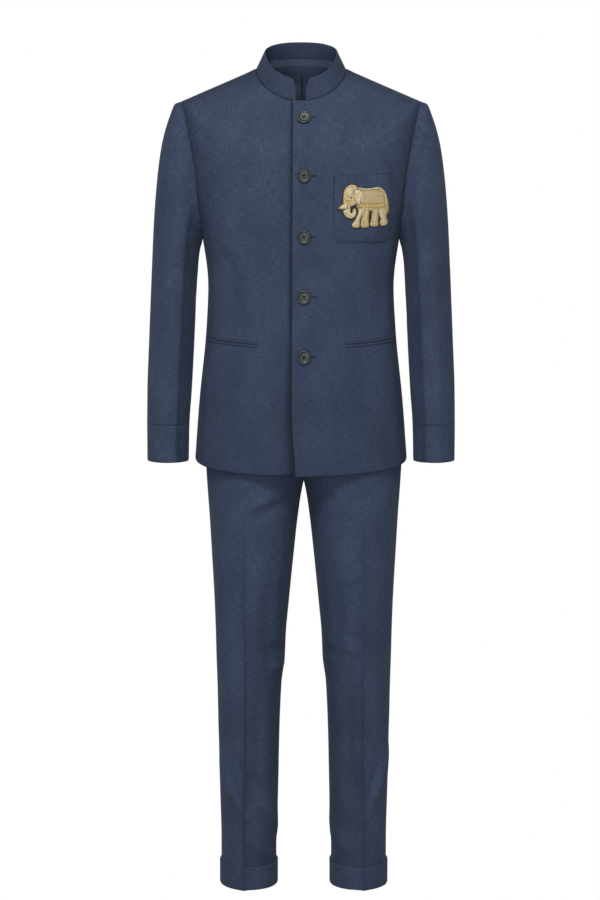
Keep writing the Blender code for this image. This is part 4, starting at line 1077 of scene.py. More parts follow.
def shape_waistband():
    """The band's ring and a little more, so that its left end laps over its right."""
    section = between(LEG_LEVELS, LEG_COLUMNS, WAIST_Z)
    angles = np.linspace(WAISTBAND_FROM, WAISTBAND_TO, WAISTBAND_COLUMNS)
    turn = np.radians(angles)
    inset = np.interp(angles, (TUCK_FROM, TUCK_FULL), (0.0, TUCK_DEPTH))
    depth = np.where(np.cos(turn) > 0, section["front_depth"], section["back_depth"])
    x = (section["outer"] - inset) * signed_power(np.sin(turn), 2 / LEG_POWER) + TROUSER_SHIFT
    y = -(depth - inset) * signed_power(np.cos(turn), 2 / LEG_POWER)
    heights = np.linspace(WAISTBAND_TOP, WAISTBAND_LOW, WAISTBAND_ROWS)
    grid = np.array([np.stack([x, y, np.full_like(x, z)], axis=-1) for z in heights])
    normals = normals_of(grid, (TROUSER_SHIFT, 0.0))
    from_top, from_low = run_lengths(grid, 0)
    rise = -0.5 * hump(from_top, 1.4) + seam_groove(from_low, 0.5)
    return grid + normals * rise[..., None], normals, hump(from_low, 1.6)


waistband = sewn_panel("cloth_waistband", *shape_waistband(), linen, cloth=TROUSER_CLOTH)
stands_for(waistband, "waistband", flat=(0.832, 0.038), held="hung")

front_of_leg = cloth_surface(bpy.data.objects["cloth_trouser_front_left"])
fly_rows = []
for z in np.linspace(FLY_TOP, FLY_LOW, FLY_ROWS):
    fly_rows.append([
        seated(front_of_leg, (x, BEFORE_SUIT, z), (0, -1, 0), -TROUSER_CLOTH - FLY_GAP)
        for x in np.linspace(FLY_LEFT, FLY_RIGHT, FLY_COLUMNS)
    ])
fly_grid = np.array(fly_rows)
fly_normals = np.broadcast_to(np.array([0.0, -1.0, 0.0]), fly_grid.shape)
fly = sewn_panel("cloth_fly", fly_grid, fly_normals, np.zeros(fly_grid.shape[:2]), linen, cloth=TROUSER_CLOTH)
stands_for(fly, "fly", flat=(0.035, 0.148), area=0.005, held="hung")


# Collar
# A stand collar of linen over a firm interlining, its two front corners rounded. It is sewn to the
# neck, and its allowance goes down inside. Its ring is like those of the body.
COLLAR_TOP = {
    "half_width": 64.0, "front_depth": 63.0, "back_depth": 52.0,
    "front_z": -18.0, "side_z": 33.0, "back_z": 49.0, "squareness": 2.5, "roundness": 0.1,
}
COLLAR_EDGE, COLLAR_LEAN = 9.2, 3.0
COLLAR_CORNER, COLLAR_CORNER_DROP = 14.0, 14.0
COLLAR_CLOTH = 2.2
COLLAR_HALF_COLUMNS, COLLAR_ROWS = 72, 13

# The collar's lowest rows, in mm up from the seam and in from the outer face, and its topmost rows,
# in mm down from its top edge and in
COLLAR_FOOT = ((-6.0, 3.6), (-2.2, 3.2), (-0.3, 2.3), (0.1, 0.7), (0.7, 0.1), (2.4, 0.0))
COLLAR_RIM = ((1.3, 0.0), (0.7, 0.1), (0.25, 0.4), (0.0, 0.95))


def collar_top(angles):
    """Points of the collar's top edge, which is squarer behind than in front."""
    square = COLLAR_TOP["squareness"] - 0.5 * np.clip(np.cos(np.radians(angles)), 0.0, 1.0)
    return ring_points(dict(COLLAR_TOP, squareness=square), angles)


def shape_collar():
    """The band from the neck seam up to its top edge, with its two front corners rounded off."""
    neck = between(BODY_RINGS, BODY_COLUMNS, NECK)
    line = ring_points(neck, np.linspace(angle_across(neck, COLLAR_EDGE), 180.0, 600))
    total = lengths_along(line)[-1]
    near = np.array((0.0, 0.5, 1.1, 1.9, 3.0, 4.6, 6.6, 9.0))
    half = spaced(line, np.concatenate([near, np.linspace(11.6, total, COLLAR_HALF_COLUMNS)]))
    base = np.concatenate([half, mirrored(half[-2::-1])])
    depth = np.where(base[:, 1] < 0, neck["front_depth"], neck["back_depth"])
    angle = np.degrees(np.arctan2(base[:, 0] / neck["half_width"], -base[:, 1] / depth))
    top = collar_top(np.abs(angle))
    top[:, 0] *= np.sign(base[:, 0] + 1e-9)
    at_front = base[:, 1] < 0
    least = np.minimum(np.abs(base[:, 0]), COLLAR_EDGE + COLLAR_LEAN)
    wide = np.where(at_front, np.maximum(np.abs(top[:, 0]), least), np.abs(top[:, 0]))
    top[:, 0] = np.sign(base[:, 0] + 1e-9) * wide
    past_edge = np.where(at_front, np.abs(base[:, 0]) - COLLAR_EDGE, COLLAR_CORNER)
    rounding = np.clip(1.0 - past_edge / COLLAR_CORNER, 0.0, 1.0) ** 2 * COLLAR_CORNER_DROP
    way = top - base
    height = np.linalg.norm(way, axis=1)
    way /= height[:, None]
    height -= rounding
    along = np.gradient(base, axis=0)
    inward = np.cross(along, way)
    inward /= np.linalg.norm(inward, axis=1, keepdims=True)
    if (inward * base).sum() > 0:
        inward = -inward
    rows = [base + way * up + inward * deep for up, deep in COLLAR_FOOT]
    first, last = COLLAR_FOOT[-1][0], COLLAR_RIM[0][0]
    for share in np.linspace(0.0, 1.0, COLLAR_ROWS)[1:-1]:
        rows.append(base + way * (first + (height - last - first) * share)[:, None])
    rows += [base + way * (height - down)[:, None] + inward * deep for down, deep in COLLAR_RIM]
    grid = np.array(rows)
    from_first, from_last = run_lengths(grid, 1)
    edge = hump(np.minimum(from_first, from_last), 0.9)
    grid += inward * 0.7 * edge[..., None]
    # Painted shade: the collar a little darker throughout, more at its foot and along its top, most at the
    # back
    seams = np.full(grid.shape[:2], 0.24)
    seams[:4] = 0.25
    seams[-4:] = np.where(base[:, 1] > 0, 0.5, 0.2)
    return grid, np.broadcast_to(-inward, grid.shape), seams


collar_panel = shape_collar()
columns = collar_panel[0].shape[1]
collar = sewn_panel(
    "cloth_collar", *collar_panel, linen, cloth=COLLAR_CLOTH,
    grain=(6 * columns + columns // 2, 14 * columns + columns // 2),
)
stands_for(collar, "collar", flat=(0.467, 0.053), area=0.0194, held="hung")


# Neck lining
# The upper back is lined with navy viscose satin, in one piece. A pleat down its middle gives room,
# and it shows through the open neck.
LINING_STATION, LINING_SHARE = 2.114, 0.75
LINING_CLOTH, LINING_GAP = 1.0, 0.5
PLEAT_RISE, PLEAT_X, DRAPE = 2.0, 2.5, 6.5

# The lining's first rows, inside the collar: mm up from the neck seam, and in from it
LINING_LIP = ((7.0, 4.2), (4.5, 4.7), (2.0, 5.3), (-0.8, 6.0), (-3.5, 6.7), (-7.0, 7.2))
LINING_FROM = 11.0


def lining_satin():
    """Warp-faced viscose satin: smooth, with a soft lustre and very fine lengthwise lines. Its yarns
    lie 0.15 mm apart, so they are drawn at 0.6 mm."""
    yarn, streak_wide, streak_long = 0.6, 2.5, 60.0
    material, tree, shader = start_material(
        "navy_lining_satin", {"Roughness": 0.64, "Anisotropic": 0.2, "Specular IOR Level": 0.15},
    )
    mm = cloth_in_mm(tree)
    lines = add_node(
        tree, "ShaderNodeTexWave", {"bands_direction": "X", "Scale": math.pi / 10 / yarn, "Distortion": 0.6},
        {"Vector": mm},
    )
    spread = add_node(
        tree, "ShaderNodeMapping", {"Scale": (1 / streak_wide, 1 / streak_long, 1.0)}, {"Vector": mm},
    )
    streak = add_node(
        tree, "ShaderNodeTexNoise", {"Scale": 1.0, "Detail": 3.0}, {"Vector": spread.outputs[0]},
    )
    # The seam attribute paints shade on the lining: down its pleat, on its lip and lower inside the back
    near = add_node(tree, "ShaderNodeAttribute", {"attribute_name": "seam"})
    tone = blend(tree, streak.outputs[0], "#414b61", "#57637b")
    tree.links.new(blend(tree, near.outputs["Fac"], tone, "#10141f"), shader.inputs["Base Color"])
    give_relief(tree, shader, lines.outputs["Fac"], 0.3, 0.0001)
    return material


def shape_lining():
    """The lining inside both halves of the back, which hangs from a lip inside the collar."""
    count = sum(1 for station, _ in body_stations() if station <= LINING_STATION)
    half = eased(back_grid(), BODY_EASING)
    inner = -normals_of(half, (0.0, 0.0))
    wide = int(half.shape[1] * LINING_SHARE)
    half, inner = half[:count, :wide], inner[:count, :wide]
    grid = np.concatenate([half[:, :0:-1], mirrored(half)], axis=1)
    inward = np.concatenate([inner[:, :0:-1], mirrored(inner)], axis=1)
    from_neck, _ = run_lengths(grid, 0)
    x = grid[..., 0]
    opened = grown(from_neck, 110.0)
    pleat = PLEAT_RISE * (0.25 + 0.75 * opened) * np.exp(-np.abs(x - PLEAT_X) / (2.0 + 5.0 * opened))
    soft = 0.8 * np.sin(x / 17.0) * grown(from_neck, 40.0)
    deep = JACKET_CLOTH + LINING_GAP + DRAPE * hump(from_neck, 38.0) + pleat + 0.8 + soft
    deep += 2.6 * grown(from_neck, 60.0)
    # Painted shade: a dark line down the pleat that widens lower down, and the lining darker lower inside the
    # back
    lining_shade = hump(x - PLEAT_X, 0.7 + 3.5 * opened) * (0.4 + 0.6 * opened)
    lining_shade = np.maximum(lining_shade, 0.8 * grown(from_neck - 50.0, 34.0))
    start = int(np.searchsorted(from_neck[:, from_neck.shape[1] // 2], LINING_FROM))
    shaped = (grid + inward * deep[..., None])[start:]
    neck = grid[0]
    plan = neck * np.array([1.0, 1.0, 0.0])
    toward = -plan / np.linalg.norm(plan, axis=1, keepdims=True)
    lip = np.array([neck + toward * deep_in + np.array([0.0, 0.0, up]) for up, deep_in in LINING_LIP])
    facing = np.repeat(toward[None], len(lip), axis=0)
    # Painted shade on the lip inside the collar
    lining_shade = np.maximum(lining_shade, 0.5 * hump(from_neck, 13.0))
    seams = np.concatenate([np.full(lip.shape[:2], 0.5), lining_shade[start:]])
    return np.concatenate([lip, shaped]), np.concatenate([facing, inward[start:]]), seams


lining = sewn_panel("cloth_neck_lining", *shape_lining(), lining_satin(), cloth=LINING_CLOTH)
stands_for(lining, "neck_lining", slot="navy_lining", flat=(0.372, 0.152), area=0.0388, held="hung")


# Chest pocket
# A patch of the same linen on the wearer's left chest, its top hemmed and its lower corners rounded.
# It is stitched down 2 mm inside its edge, and stands a little off the chest between its seams.
CHEST_FACING = np.array([math.sin(math.radians(24)), -math.cos(math.radians(24)), 0.0])
POCKET_LEFT, POCKET_RIGHT, POCKET_TOP, POCKET_BOTTOM = 57.0, 158.0, -187.0, -306.0
POCKET_CORNER, POCKET_CLOTH, POCKET_GAP, POCKET_PUFF = 15.0, 1.2, 0.25, 1.5
POCKET_HEM, POCKET_STITCH = 21.0, 2.2
POCKET_COLUMNS, POCKET_ROWS = 30, 34
STITCH_LONG, STITCH_PITCH, STITCH_THREAD = 2.3, 3.1, 0.42
RAY_FROM = -200.0


def pocket_lift(from_side):
    """How far the rounded corner lifts the pocket's lower edge, at a distance from its side."""
    short = max(POCKET_CORNER - from_side, 0.0)
    return POCKET_CORNER - math.sqrt(POCKET_CORNER**2 - short**2)


def shape_pocket(chest):
    """The patch on the chest, which stands a little off it inside its line of stitches."""
    width = POCKET_RIGHT - POCKET_LEFT
    near = (0.0, 0.25, 0.8, 1.7, 3.0, 4.8, 7.2, 10.2)
    across = close_at_ends(0.0, width, near, POCKET_COLUMNS)
    grid = []
    for x in across:
        low = POCKET_BOTTOM + pocket_lift(min(x, width - x))
        shares = close_at_ends(0.0, 1.0, (0.0, 0.006, 0.014, 0.026, 0.042), POCKET_ROWS)
        spots = [(POCKET_LEFT + x, BEFORE_SUIT, POCKET_TOP + (low - POCKET_TOP) * share) for share in shares]
        grid.append([seated(chest, spot, (0, -1, 0), 0.0) for spot in spots])
    grid = eased(np.array(grid).transpose(1, 0, 2), 4)
    from_left, from_right = run_lengths(grid, 1)
    from_top, from_low = run_lengths(grid, 0)
    from_edge = np.minimum(np.minimum(from_left, from_right), from_low)
    rise = POCKET_GAP + POCKET_CLOTH + POCKET_PUFF * (1.0 - np.exp(-np.maximum(from_edge - 1.5, 0.0) / 9.0))
    rise += 0.45 * np.exp(-(from_top / 5.0)) + 0.25 * (from_top < POCKET_HEM)
    rise -= 0.5 * hump(from_edge - POCKET_STITCH, 0.9)
    rise -= 0.7 * hump(np.minimum(from_edge, from_top), 0.8)
    normals = np.broadcast_to(CHEST_FACING, grid.shape)
    # Painted shade along the pocket's left edge, and faintly round its other edges
    seams = np.maximum(hump(from_left, 1.5), 0.15 * hump(from_edge, 1.3))
    return grid + CHEST_FACING * rise[..., None], normals, seams


def start_tree(name, step, **sizes):
    """A tree of nodes with its inputs, each size's least value given. Its line has points a step apart."""
    tree = bpy.data.node_groups.new(name, "GeometryNodeTree")
    tree.interface.new_socket("Geometry", in_out="INPUT", socket_type="NodeSocketGeometry")
    for size, least in sizes.items():
        socket = tree.interface.new_socket(size, in_out="INPUT", socket_type="NodeSocketFloat")
        socket.min_value = least
    tree.interface.new_socket("Material", in_out="INPUT", socket_type="NodeSocketMaterial")
    tree.interface.new_socket("Geometry", in_out="OUTPUT", socket_type="NodeSocketGeometry")
    given = add_node(tree, "NodeGroupInput")
    line = add_node(tree, "GeometryNodeMeshToCurve", {}, {"Mesh": given.outputs["Geometry"]})
    marks = add_node(
        tree, "GeometryNodeResampleCurve", {"mode": "LENGTH"},
        {"Curve": line.outputs[0], "Length": given.outputs[step]},
    )
    return tree, given, marks


def end_tree(tree, given, shape):
    """The end of the tree: its instances made real, and its material set."""
    real = add_node(tree, "GeometryNodeRealizeInstances", {}, {"Geometry": shape})
    made = add_node(
        tree, "GeometryNodeSetMaterial", {},
        {"Geometry": real.outputs[0], "Material": given.outputs["Material"]},
    )
    result = add_node(tree, "NodeGroupOutput")
    tree.links.new(made.outputs[0], result.inputs[0])
    return tree


def running_stitch():
    """A tree of nodes: short stitches of thread along a line, end to end with gaps."""
    tree, given, marks = start_tree("running_stitch", "Pitch", Pitch=0.0005, Length=0.0002, Thread=0.0001)
    ends = add_node(tree, "ShaderNodeCombineXYZ", {}, {"Z": given.outputs["Length"]})
    stitch_line = add_node(tree, "GeometryNodeCurvePrimitiveLine", {}, {"End": ends.outputs[0]})
    halved = add_node(
        tree, "ShaderNodeVectorMath", {"operation": "SCALE", "Scale": -0.5}, {0: ends.outputs[0]},
    )
    centred = add_node(
        tree, "GeometryNodeTransform", {},
        {"Geometry": stitch_line.outputs[0], "Translation": halved.outputs[0]},
    )
    cut = add_node(tree, "GeometryNodeResampleCurve", {"Count": 6}, {"Curve": centred.outputs[0]})
    along = add_node(tree, "GeometryNodeSplineParameter")
    swell = add_node(tree, "ShaderNodeFloatCurve", {}, {"Value": along.outputs["Factor"]})
    points = swell.mapping.curves[0].points
    points[0].location, points[1].location = (0.0, 0.45), (1.0, 0.45)
    points.new(0.25, 1.0)
    points.new(0.75, 1.0)
    swell.mapping.update()
    wide = add_node(
        tree, "ShaderNodeMath", {"operation": "MULTIPLY"}, {0: swell.outputs[0], 1: given.outputs["Thread"]},
    )
    round_thread = add_node(tree, "GeometryNodeCurvePrimitiveCircle", {"Resolution": 6, "Radius": 0.5})
    stitch = add_node(
        tree, "GeometryNodeCurveToMesh", {"Fill Caps": True},
        {"Curve": cut.outputs[0], "Profile Curve": round_thread.outputs["Curve"], "Scale": wide.outputs[0]},
    )
    way = add_node(tree, "GeometryNodeInputTangent")
    turned = add_node(tree, "FunctionNodeAlignRotationToVector", {"axis": "Z"}, {"Vector": way.outputs[0]})
    set_on = add_node(
        tree, "GeometryNodeInstanceOnPoints", {},
        {"Points": marks.outputs[0], "Instance": stitch.outputs[0], "Rotation": turned.outputs[0]},
    )
    return end_tree(tree, given, set_on.outputs[0])


def plain_mesh(source, name, group, values):
    """The mesh that a tree of nodes makes of an object, given the tree's named inputs."""
    modifier = source.modifiers.new("made", "NODES")
    modifier.node_group = group
    for socket in group.interface.items_tree:
        if socket.item_type == "SOCKET" and socket.in_out == "INPUT" and socket.name in values:
            modifier[socket.identifier] = values[socket.name]
    bpy.context.view_layer.update()
    seen = source.evaluated_get(bpy.context.evaluated_depsgraph_get())
    mesh = bpy.data.meshes.new_from_object(seen)
    bpy.data.objects.remove(source)
    mesh.name = name
    mesh.shade_smooth()
    return placed(name, mesh)


def add_line(name, lines):
    """Open lines of points in mm, as the edges of one object."""
    points, edges = [], []
    for line in lines:
        edges += [(len(points) + k, len(points) + k + 1) for k in range(len(line) - 1)]
        points += [tuple(place) for place in line]
    mesh = bpy.data.meshes.new(name)
    mesh.from_pydata((np.array(points) / 1000.0).tolist(), edges, [])
    return placed(name, mesh)


def sewing_thread(name, shade, light):
    """Three-ply polyester sewing thread, a shade from the linen, with its plies' slanting twist."""
    ply = 0.45
    material, tree, shader = start_material(name, {"Roughness": 0.55, "Specular IOR Level": 0.35})
    place = add_node(tree, "ShaderNodeTexCoord")
    turned = add_node(
        tree, "ShaderNodeMapping", {"Scale": (1000.0, 1000.0, 1000.0), "Rotation": (0.5, 0.4, 0.6)},
        {"Vector": place.outputs["Object"]},
    )
    twist = add_node(
        tree, "ShaderNodeTexWave", {"Scale": math.pi / 10 / ply, "Distortion": 1.0},
        {"Vector": turned.outputs[0]},
    )
    tree.links.new(blend(tree, twist.outputs["Fac"], shade, light), shader.inputs["Base Color"])
    return material


def sewn_on(piece):
    """Says that a piece of sewing stays on the suit."""
    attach(piece, "root")


def outward_point(surface, x, z, lift):
    """A place on a front surface straight behind (x, z), moved out along the cloth's own facing."""
    hit, facing = surface.ray_cast(Vector((x, RAY_FROM, z)), Vector((0.0, 1.0, 0.0)))[:2]
    facing = facing if facing.y < 0 else -facing
    return hit + facing * lift


chest = cloth_surface(bodies["front_left"])
pocket = sewn_panel("cloth_chest_pocket", *shape_pocket(chest), linen, cloth=POCKET_CLOTH)
stands_for(
    pocket, "chest_pocket", flat=(0.116, 0.124), area=0.0133, held="laid", rests_on=[bodies["front_left"]],
)

stitching = running_stitch()
navy_thread = sewing_thread("navy_thread", "#1e2637", "#333e54")
pocket_face = cloth_surface(pocket)
left, right = POCKET_LEFT + POCKET_STITCH, POCKET_RIGHT - POCKET_STITCH
low, top = POCKET_BOTTOM + POCKET_STITCH, POCKET_TOP - 1.0
inner_left, inner_right, inner_low = left + POCKET_CORNER, right - POCKET_CORNER, low + POCKET_CORNER


def stitched_corner(x, turns):
    """The stitched line's points round a lower corner of the pocket, after the first."""
    for turn in np.linspace(*turns, 16)[1:]:
        yield x + POCKET_CORNER * math.cos(turn), inner_low + POCKET_CORNER * math.sin(turn)


edge_line = [(left, z) for z in np.linspace(top, inner_low, 60)]
edge_line += stitched_corner(inner_left, (math.pi, 1.5 * math.pi))
edge_line += [(x, low) for x in np.linspace(inner_left, inner_right, 40)[1:]]
edge_line += stitched_corner(inner_right, (1.5 * math.pi, 2.0 * math.pi))
edge_line += [(right, z) for z in np.linspace(inner_low, top, 60)[1:]]
hem_line = [(x, POCKET_TOP - POCKET_HEM) for x in np.linspace(left + 1.0, right - 1.0, 60)]
lines = [[outward_point(pocket_face, x, z, 0.12) for x, z in line] for line in (edge_line, hem_line)]
pocket_stitches = plain_mesh(
    add_line("pocket_line", lines), "pocket_stitches", stitching,
    {"Pitch": STITCH_PITCH / 1000, "Length": STITCH_LONG / 1000, "Thread": STITCH_THREAD / 1000,
     "Material": navy_thread},
)
sewn_on(pocket_stitches)


# Lower pockets
# A slit on each side of the jacket, level with the waist, bound above and below by a narrow folded
# strip of linen, a jetting, and pressed flat.
WELT_SLIT_Z, WELT_RISE = -486.0, 8.5
WELT_HEIGHT, WELT_CLOTH, WELT_SPLIT = 5.4, 1.2, 0.3
WELT_FROM, WELT_TO = 23.0, 80.0
WELT_COLUMNS, WELT_OUTER = 90, 0.75
WELT_ROWS = (0.0, 0.12, 0.3, 0.55, 0.75, 0.9, 1.0)


def station_at(angle, z):
    """The body station whose ring passes through a height at an angle."""
    low, high = UNDERARM, HEM
    for _ in range(24):
        middle = (low + high) / 2
        level = ring_points(between(BODY_RINGS, BODY_COLUMNS, middle), np.array([angle]))[0, 2]
        low, high = (middle, high) if level > z else (low, middle)
    return (low + high) / 2


def slit_line(sign):
    """The pocket slit's points on the front, and the way each faces."""
    for k, angle in enumerate(np.linspace(WELT_FROM, WELT_TO, WELT_COLUMNS)):
        slit = WELT_SLIT_Z + WELT_RISE * k / (WELT_COLUMNS - 1)
        ring = between(BODY_RINGS, BODY_COLUMNS, station_at(angle, slit))
        x, y, z = ring_points(ring, np.array([angle]))[0]
        way = Vector((sign * x / ring["half_width"] ** 2, y / ring["front_depth"] ** 2, 0.0)).normalized()
        yield Vector((sign * x, y, z)), way


for side, sign in (("left", 1), ("right", -1)):
    front = bodies["front_" + side]
    surface = cloth_surface(front)
    slit = list(slit_line(sign))
    for place, start, end in (
        ("upper", WELT_SPLIT / 2 + WELT_HEIGHT, WELT_SPLIT / 2),
        ("lower", -WELT_SPLIT / 2, -WELT_SPLIT / 2 - WELT_HEIGHT),
    ):
        rows, ways = [], []
        for share in WELT_ROWS:
            up = Vector((0.0, 0.0, start + (end - start) * share))
            bulge = 0.15 + WELT_CLOTH * (0.45 + 0.75 * (1 - abs(2 * share - 1) ** 2.4))
            line = []
            for k, (point, way) in enumerate(slit):
                from_end = min(k, WELT_COLUMNS - 1 - k)
                line.append(seated(surface, point + up, way, bulge - 0.35 * math.exp(-from_end / 0.8)))
            rows.append(line)
            ways.append([way for _, way in slit])
        grid, ways = np.array(rows), np.array(ways)
        # Painted shade along the welts' folded edges and beside the slit, fading at their ends
        welt_shade = []
        for share in WELT_ROWS:
            outer = (share < 0.5) == (place == "upper")
            welt_shade.append(0.1 + (WELT_OUTER if outer else 0.9) * abs(2 * share - 1) ** (1.6 if outer else 2.6))
        welt_shade = np.array(welt_shade)
        steps = np.arange(WELT_COLUMNS)
        ends = 1.0 - np.exp(-(np.minimum(steps, steps[::-1]) / 7.0))
        piece = sewn_panel(
            f"cloth_welt_{place}_{side}", grid, ways, welt_shade[:, None] * ends, linen, cloth=0.9,
            grain=(2 * WELT_COLUMNS + 40, 5 * WELT_COLUMNS + 40),
        )
        stands_for(
            piece, f"welt_{place}_{side}", flat=(0.128, 0.0158), area=0.0007, held="laid", rests_on=[front],
        )


# Buttons
# Turned buffalo horn, dark with a few brown and grey streaks, polished, with a raised rim, a dished
# middle and four holes. Each is sewn on with a cross of navy thread. Five close the jacket, and a
# smaller one the waistband.
BUTTON_X, BUTTON_HEIGHTS = 5.0, (-86.0, -188.0, -295.0, -401.5, -508.0)
BUTTON_RADIUS, BUTTON_HEIGHT, BUTTON_STANDS = 12.5, 3.6, 0.6
WAIST_BUTTON_RADIUS, WAIST_BUTTON_HEIGHT, WAIST_BUTTON_X = 8.0, 2.6, 3.0
HOLE_RADIUS, HOLE_OUT = 0.105, 0.19

# Half of the button's section: how far out and how high, as shares of its radius and its height
BUTTON_SECTION = (
    (0.0, 0.0), (0.62, 0.0), (0.80, 0.06), (0.93, 0.22), (0.99, 0.42), (1.0, 0.58), (0.985, 0.78),
    (0.94, 0.93), (0.88, 1.0), (0.81, 0.985), (0.74, 0.90), (0.69, 0.78), (0.64, 0.70), (0.55, 0.655),
    (0.40, 0.63), (0.0, 0.62),
)


def buffalo_horn():
    """Buffalo horn, sawn across and polished. Fine growth lines run through it in wavy layers, and a
    few paler streaks lie near the surface, under a clear hard gloss."""
    material, tree, shader = start_material(
        "buffalo_horn", {"IOR": 1.54, "Coat Weight": 0.08, "Coat Roughness": 0.22},
    )
    place = add_node(tree, "ShaderNodeTexCoord")
    spread = add_node(
        tree, "ShaderNodeMapping", {"Scale": (260.0, 900.0, 160.0), "Rotation": (0.2, 0.5, 0.3)},
        {"Vector": place.outputs["Object"]},
    )
    layers = add_node(
        tree, "ShaderNodeTexNoise", {"Scale": 1.0, "Detail": 5.0, "Distortion": 1.2},
        {"Vector": spread.outputs[0]},
    ).outputs[0]
    tones = three_tones(tree, layers, (0.38, "#0f1011"), (0.56, "#1b1d1e"), (0.72, "#3d3e40"))
    tree.links.new(tones, shader.inputs["Base Color"])
    give_roughness(tree, shader, layers, 0.34, 0.52)
    give_relief(tree, shader, layers, 0.2, 0.0001)
    return material


def turned_button(radius, height):
    """A button of this size at the origin, its face up, with its holes cut through."""
    shape = bmesh.new()
    corners = [shape.verts.new((r * radius / 1000, 0.0, h * height / 1000)) for r, h in BUTTON_SECTION]
    edges = [shape.edges.new(pair) for pair in zip(corners, corners[1:])]
    bmesh.ops.spin(
        shape, geom=corners + edges, cent=(0, 0, 0), axis=(0, 0, 1), angle=2 * math.pi, steps=56,
    )
    bmesh.ops.remove_doubles(shape, verts=shape.verts, dist=1e-6)
    bmesh.ops.recalc_face_normals(shape, faces=shape.faces)
    mesh = bpy.data.meshes.new("button")
    shape.to_mesh(mesh)
    shape.free()
    button = placed("button", mesh)
    drills = bmesh.new()
    for k in range(4):
        turn = math.radians(45 + 90 * k)
        spot = Vector((math.cos(turn), math.sin(turn), 0.0)) * HOLE_OUT * radius * 1.25 / 1000
        drill = bmesh.ops.create_cone(
            drills, cap_ends=True, segments=20, radius1=HOLE_RADIUS * radius / 1000,
            radius2=HOLE_RADIUS * radius * 1.15 / 1000, depth=3 * height / 1000,
        )
        bmesh.ops.translate(drills, verts=drill["verts"], vec=spot)
    cutter_mesh = bpy.data.meshes.new("drills")
    drills.to_mesh(cutter_mesh)
    drills.free()
    cutter = placed("drills", cutter_mesh)
    cut = button.modifiers.new("holes", "BOOLEAN")
    cut.operation, cut.object = "DIFFERENCE", cutter
    bpy.context.view_layer.update()
    made = bpy.data.meshes.new_from_object(button.evaluated_get(bpy.context.evaluated_depsgraph_get()))
    for piece in (button, cutter):
        bpy.data.objects.remove(piece)
    made.shade_smooth()
    made.set_sharp_from_angle(angle=math.radians(38))
    return made


def sewn_cross(radius, height):
    """The thread that shows in a button's dish: two flat bundles that cross between its holes."""
    lines = []
    out = HOLE_OUT * radius * 1.25 * math.sqrt(0.5)
    for lean in (1, -1):
        for beside in (-0.32, 0.0, 0.32):
            line = []
            for share in np.linspace(-1.0, 1.0, 13):
                lift = 0.62 * height + 0.42 * (1 - share**6) - 1.2 * (abs(share) > 0.99)
                lift += 0.15 if lean > 0 else 0.0
                line.append((share * out - beside * lean * 0.7, share * out * lean + beside * 0.7, lift))
            lines.append(line)
    return lines


def cotton_cord(name, lines, thick, material):
    """Round threads along lines of points in mm, as one mesh."""
    points, faces = [], []
    for line in lines:
        line = np.array(line, float)
        way = np.gradient(line, axis=0)
        way /= np.linalg.norm(way, axis=1, keepdims=True)
        beside = np.cross(way, np.array([0.35, -0.2, 0.92]))
        beside /= np.linalg.norm(beside, axis=1, keepdims=True)
        other = np.cross(way, beside)
        start = len(points)
        for place, one, two in zip(line, beside, other):
            for k in range(6):
                turn = math.pi * k / 3
                points.append(place + (one * math.cos(turn) + two * math.sin(turn)) * thick / 2)
        for ring in range(len(line) - 1):
            for k in range(6):
                a, b = start + ring * 6 + k, start + ring * 6 + (k + 1) % 6
                faces.append((a, b, b + 6, a + 6))
        faces.append([start + k for k in range(6)])
        faces.append([start + (len(line) - 1) * 6 + k for k in reversed(range(6))])
    made = add_object(name, points, faces)
    made.data.materials.append(material)
    return made


def facing_at(surface, x, z, spread):
    """The middle of the cloth that a button covers, and the way that cloth faces."""
    start = Vector((x, RAY_FROM, z))
    hits = []
    for across, up in ((0, 0), (spread, 0), (-spread, 0), (0, spread), (0, -spread)):
        hits.append(surface.ray_cast(start + Vector((across, 0, up)), Vector((0, 1, 0)))[0])
    facing = (hits[1] - hits[2]).cross(hits[3] - hits[4]).normalized()
    return hits[0], facing if facing.y < 0 else -facing


def put_button(name, surface, x, z, radius, height, turn):
    """A button and its thread, on the cloth. The finished meshes stand in the suit's own frame."""
    place, facing = facing_at(surface, x, z, radius / 2)
    spin = facing.to_track_quat("Z", "Y").to_matrix() @ Matrix.Rotation(turn, 3, "Z")
    stand = Matrix.Translation((place + facing * BUTTON_STANDS) / 1000.0) @ spin.to_4x4()
    mesh = turned_button(radius, height)
    mesh.transform(stand)
    mesh.materials.clear()
    mesh.materials.append(horn)
    button = placed("horn_" + name, mesh)
    thread = cotton_cord("thread_" + name, sewn_cross(radius, height), 0.34, dark_thread)
    thread.data.transform(stand)
    sewn_on(button)
    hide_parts(name)
    sewn_on(thread)


horn = buffalo_horn()
dark_thread = sewing_thread("dark_thread", "#0f131c", "#1b2230")
for k, z in enumerate(BUTTON_HEIGHTS):
    put_button(f"button_{k + 1}", chest, BUTTON_X, z, BUTTON_RADIUS, BUTTON_HEIGHT, 0.3 + 0.37 * k)
put_button(
    "waist_button", cloth_surface(waistband), WAIST_BUTTON_X, WAIST_Z + 19.0,
    WAIST_BUTTON_RADIUS, WAIST_BUTTON_HEIGHT, 0.2,
)


# Buttonholes
# Five buttonholes cut through the left front, in line with the buttons. Each slit is bound with short
# upright stitches of navy thread over a dark gimp cord. A button hides all but the outer end.
BUTTONHOLE_FROM, BUTTONHOLE_TO, BUTTONHOLE_STEP = 11.0, 27.0, 0.6
BUTTONHOLE_NEAR, BUTTONHOLE_FAR = 0.3, 1.9
CORD_STEP = 0.45


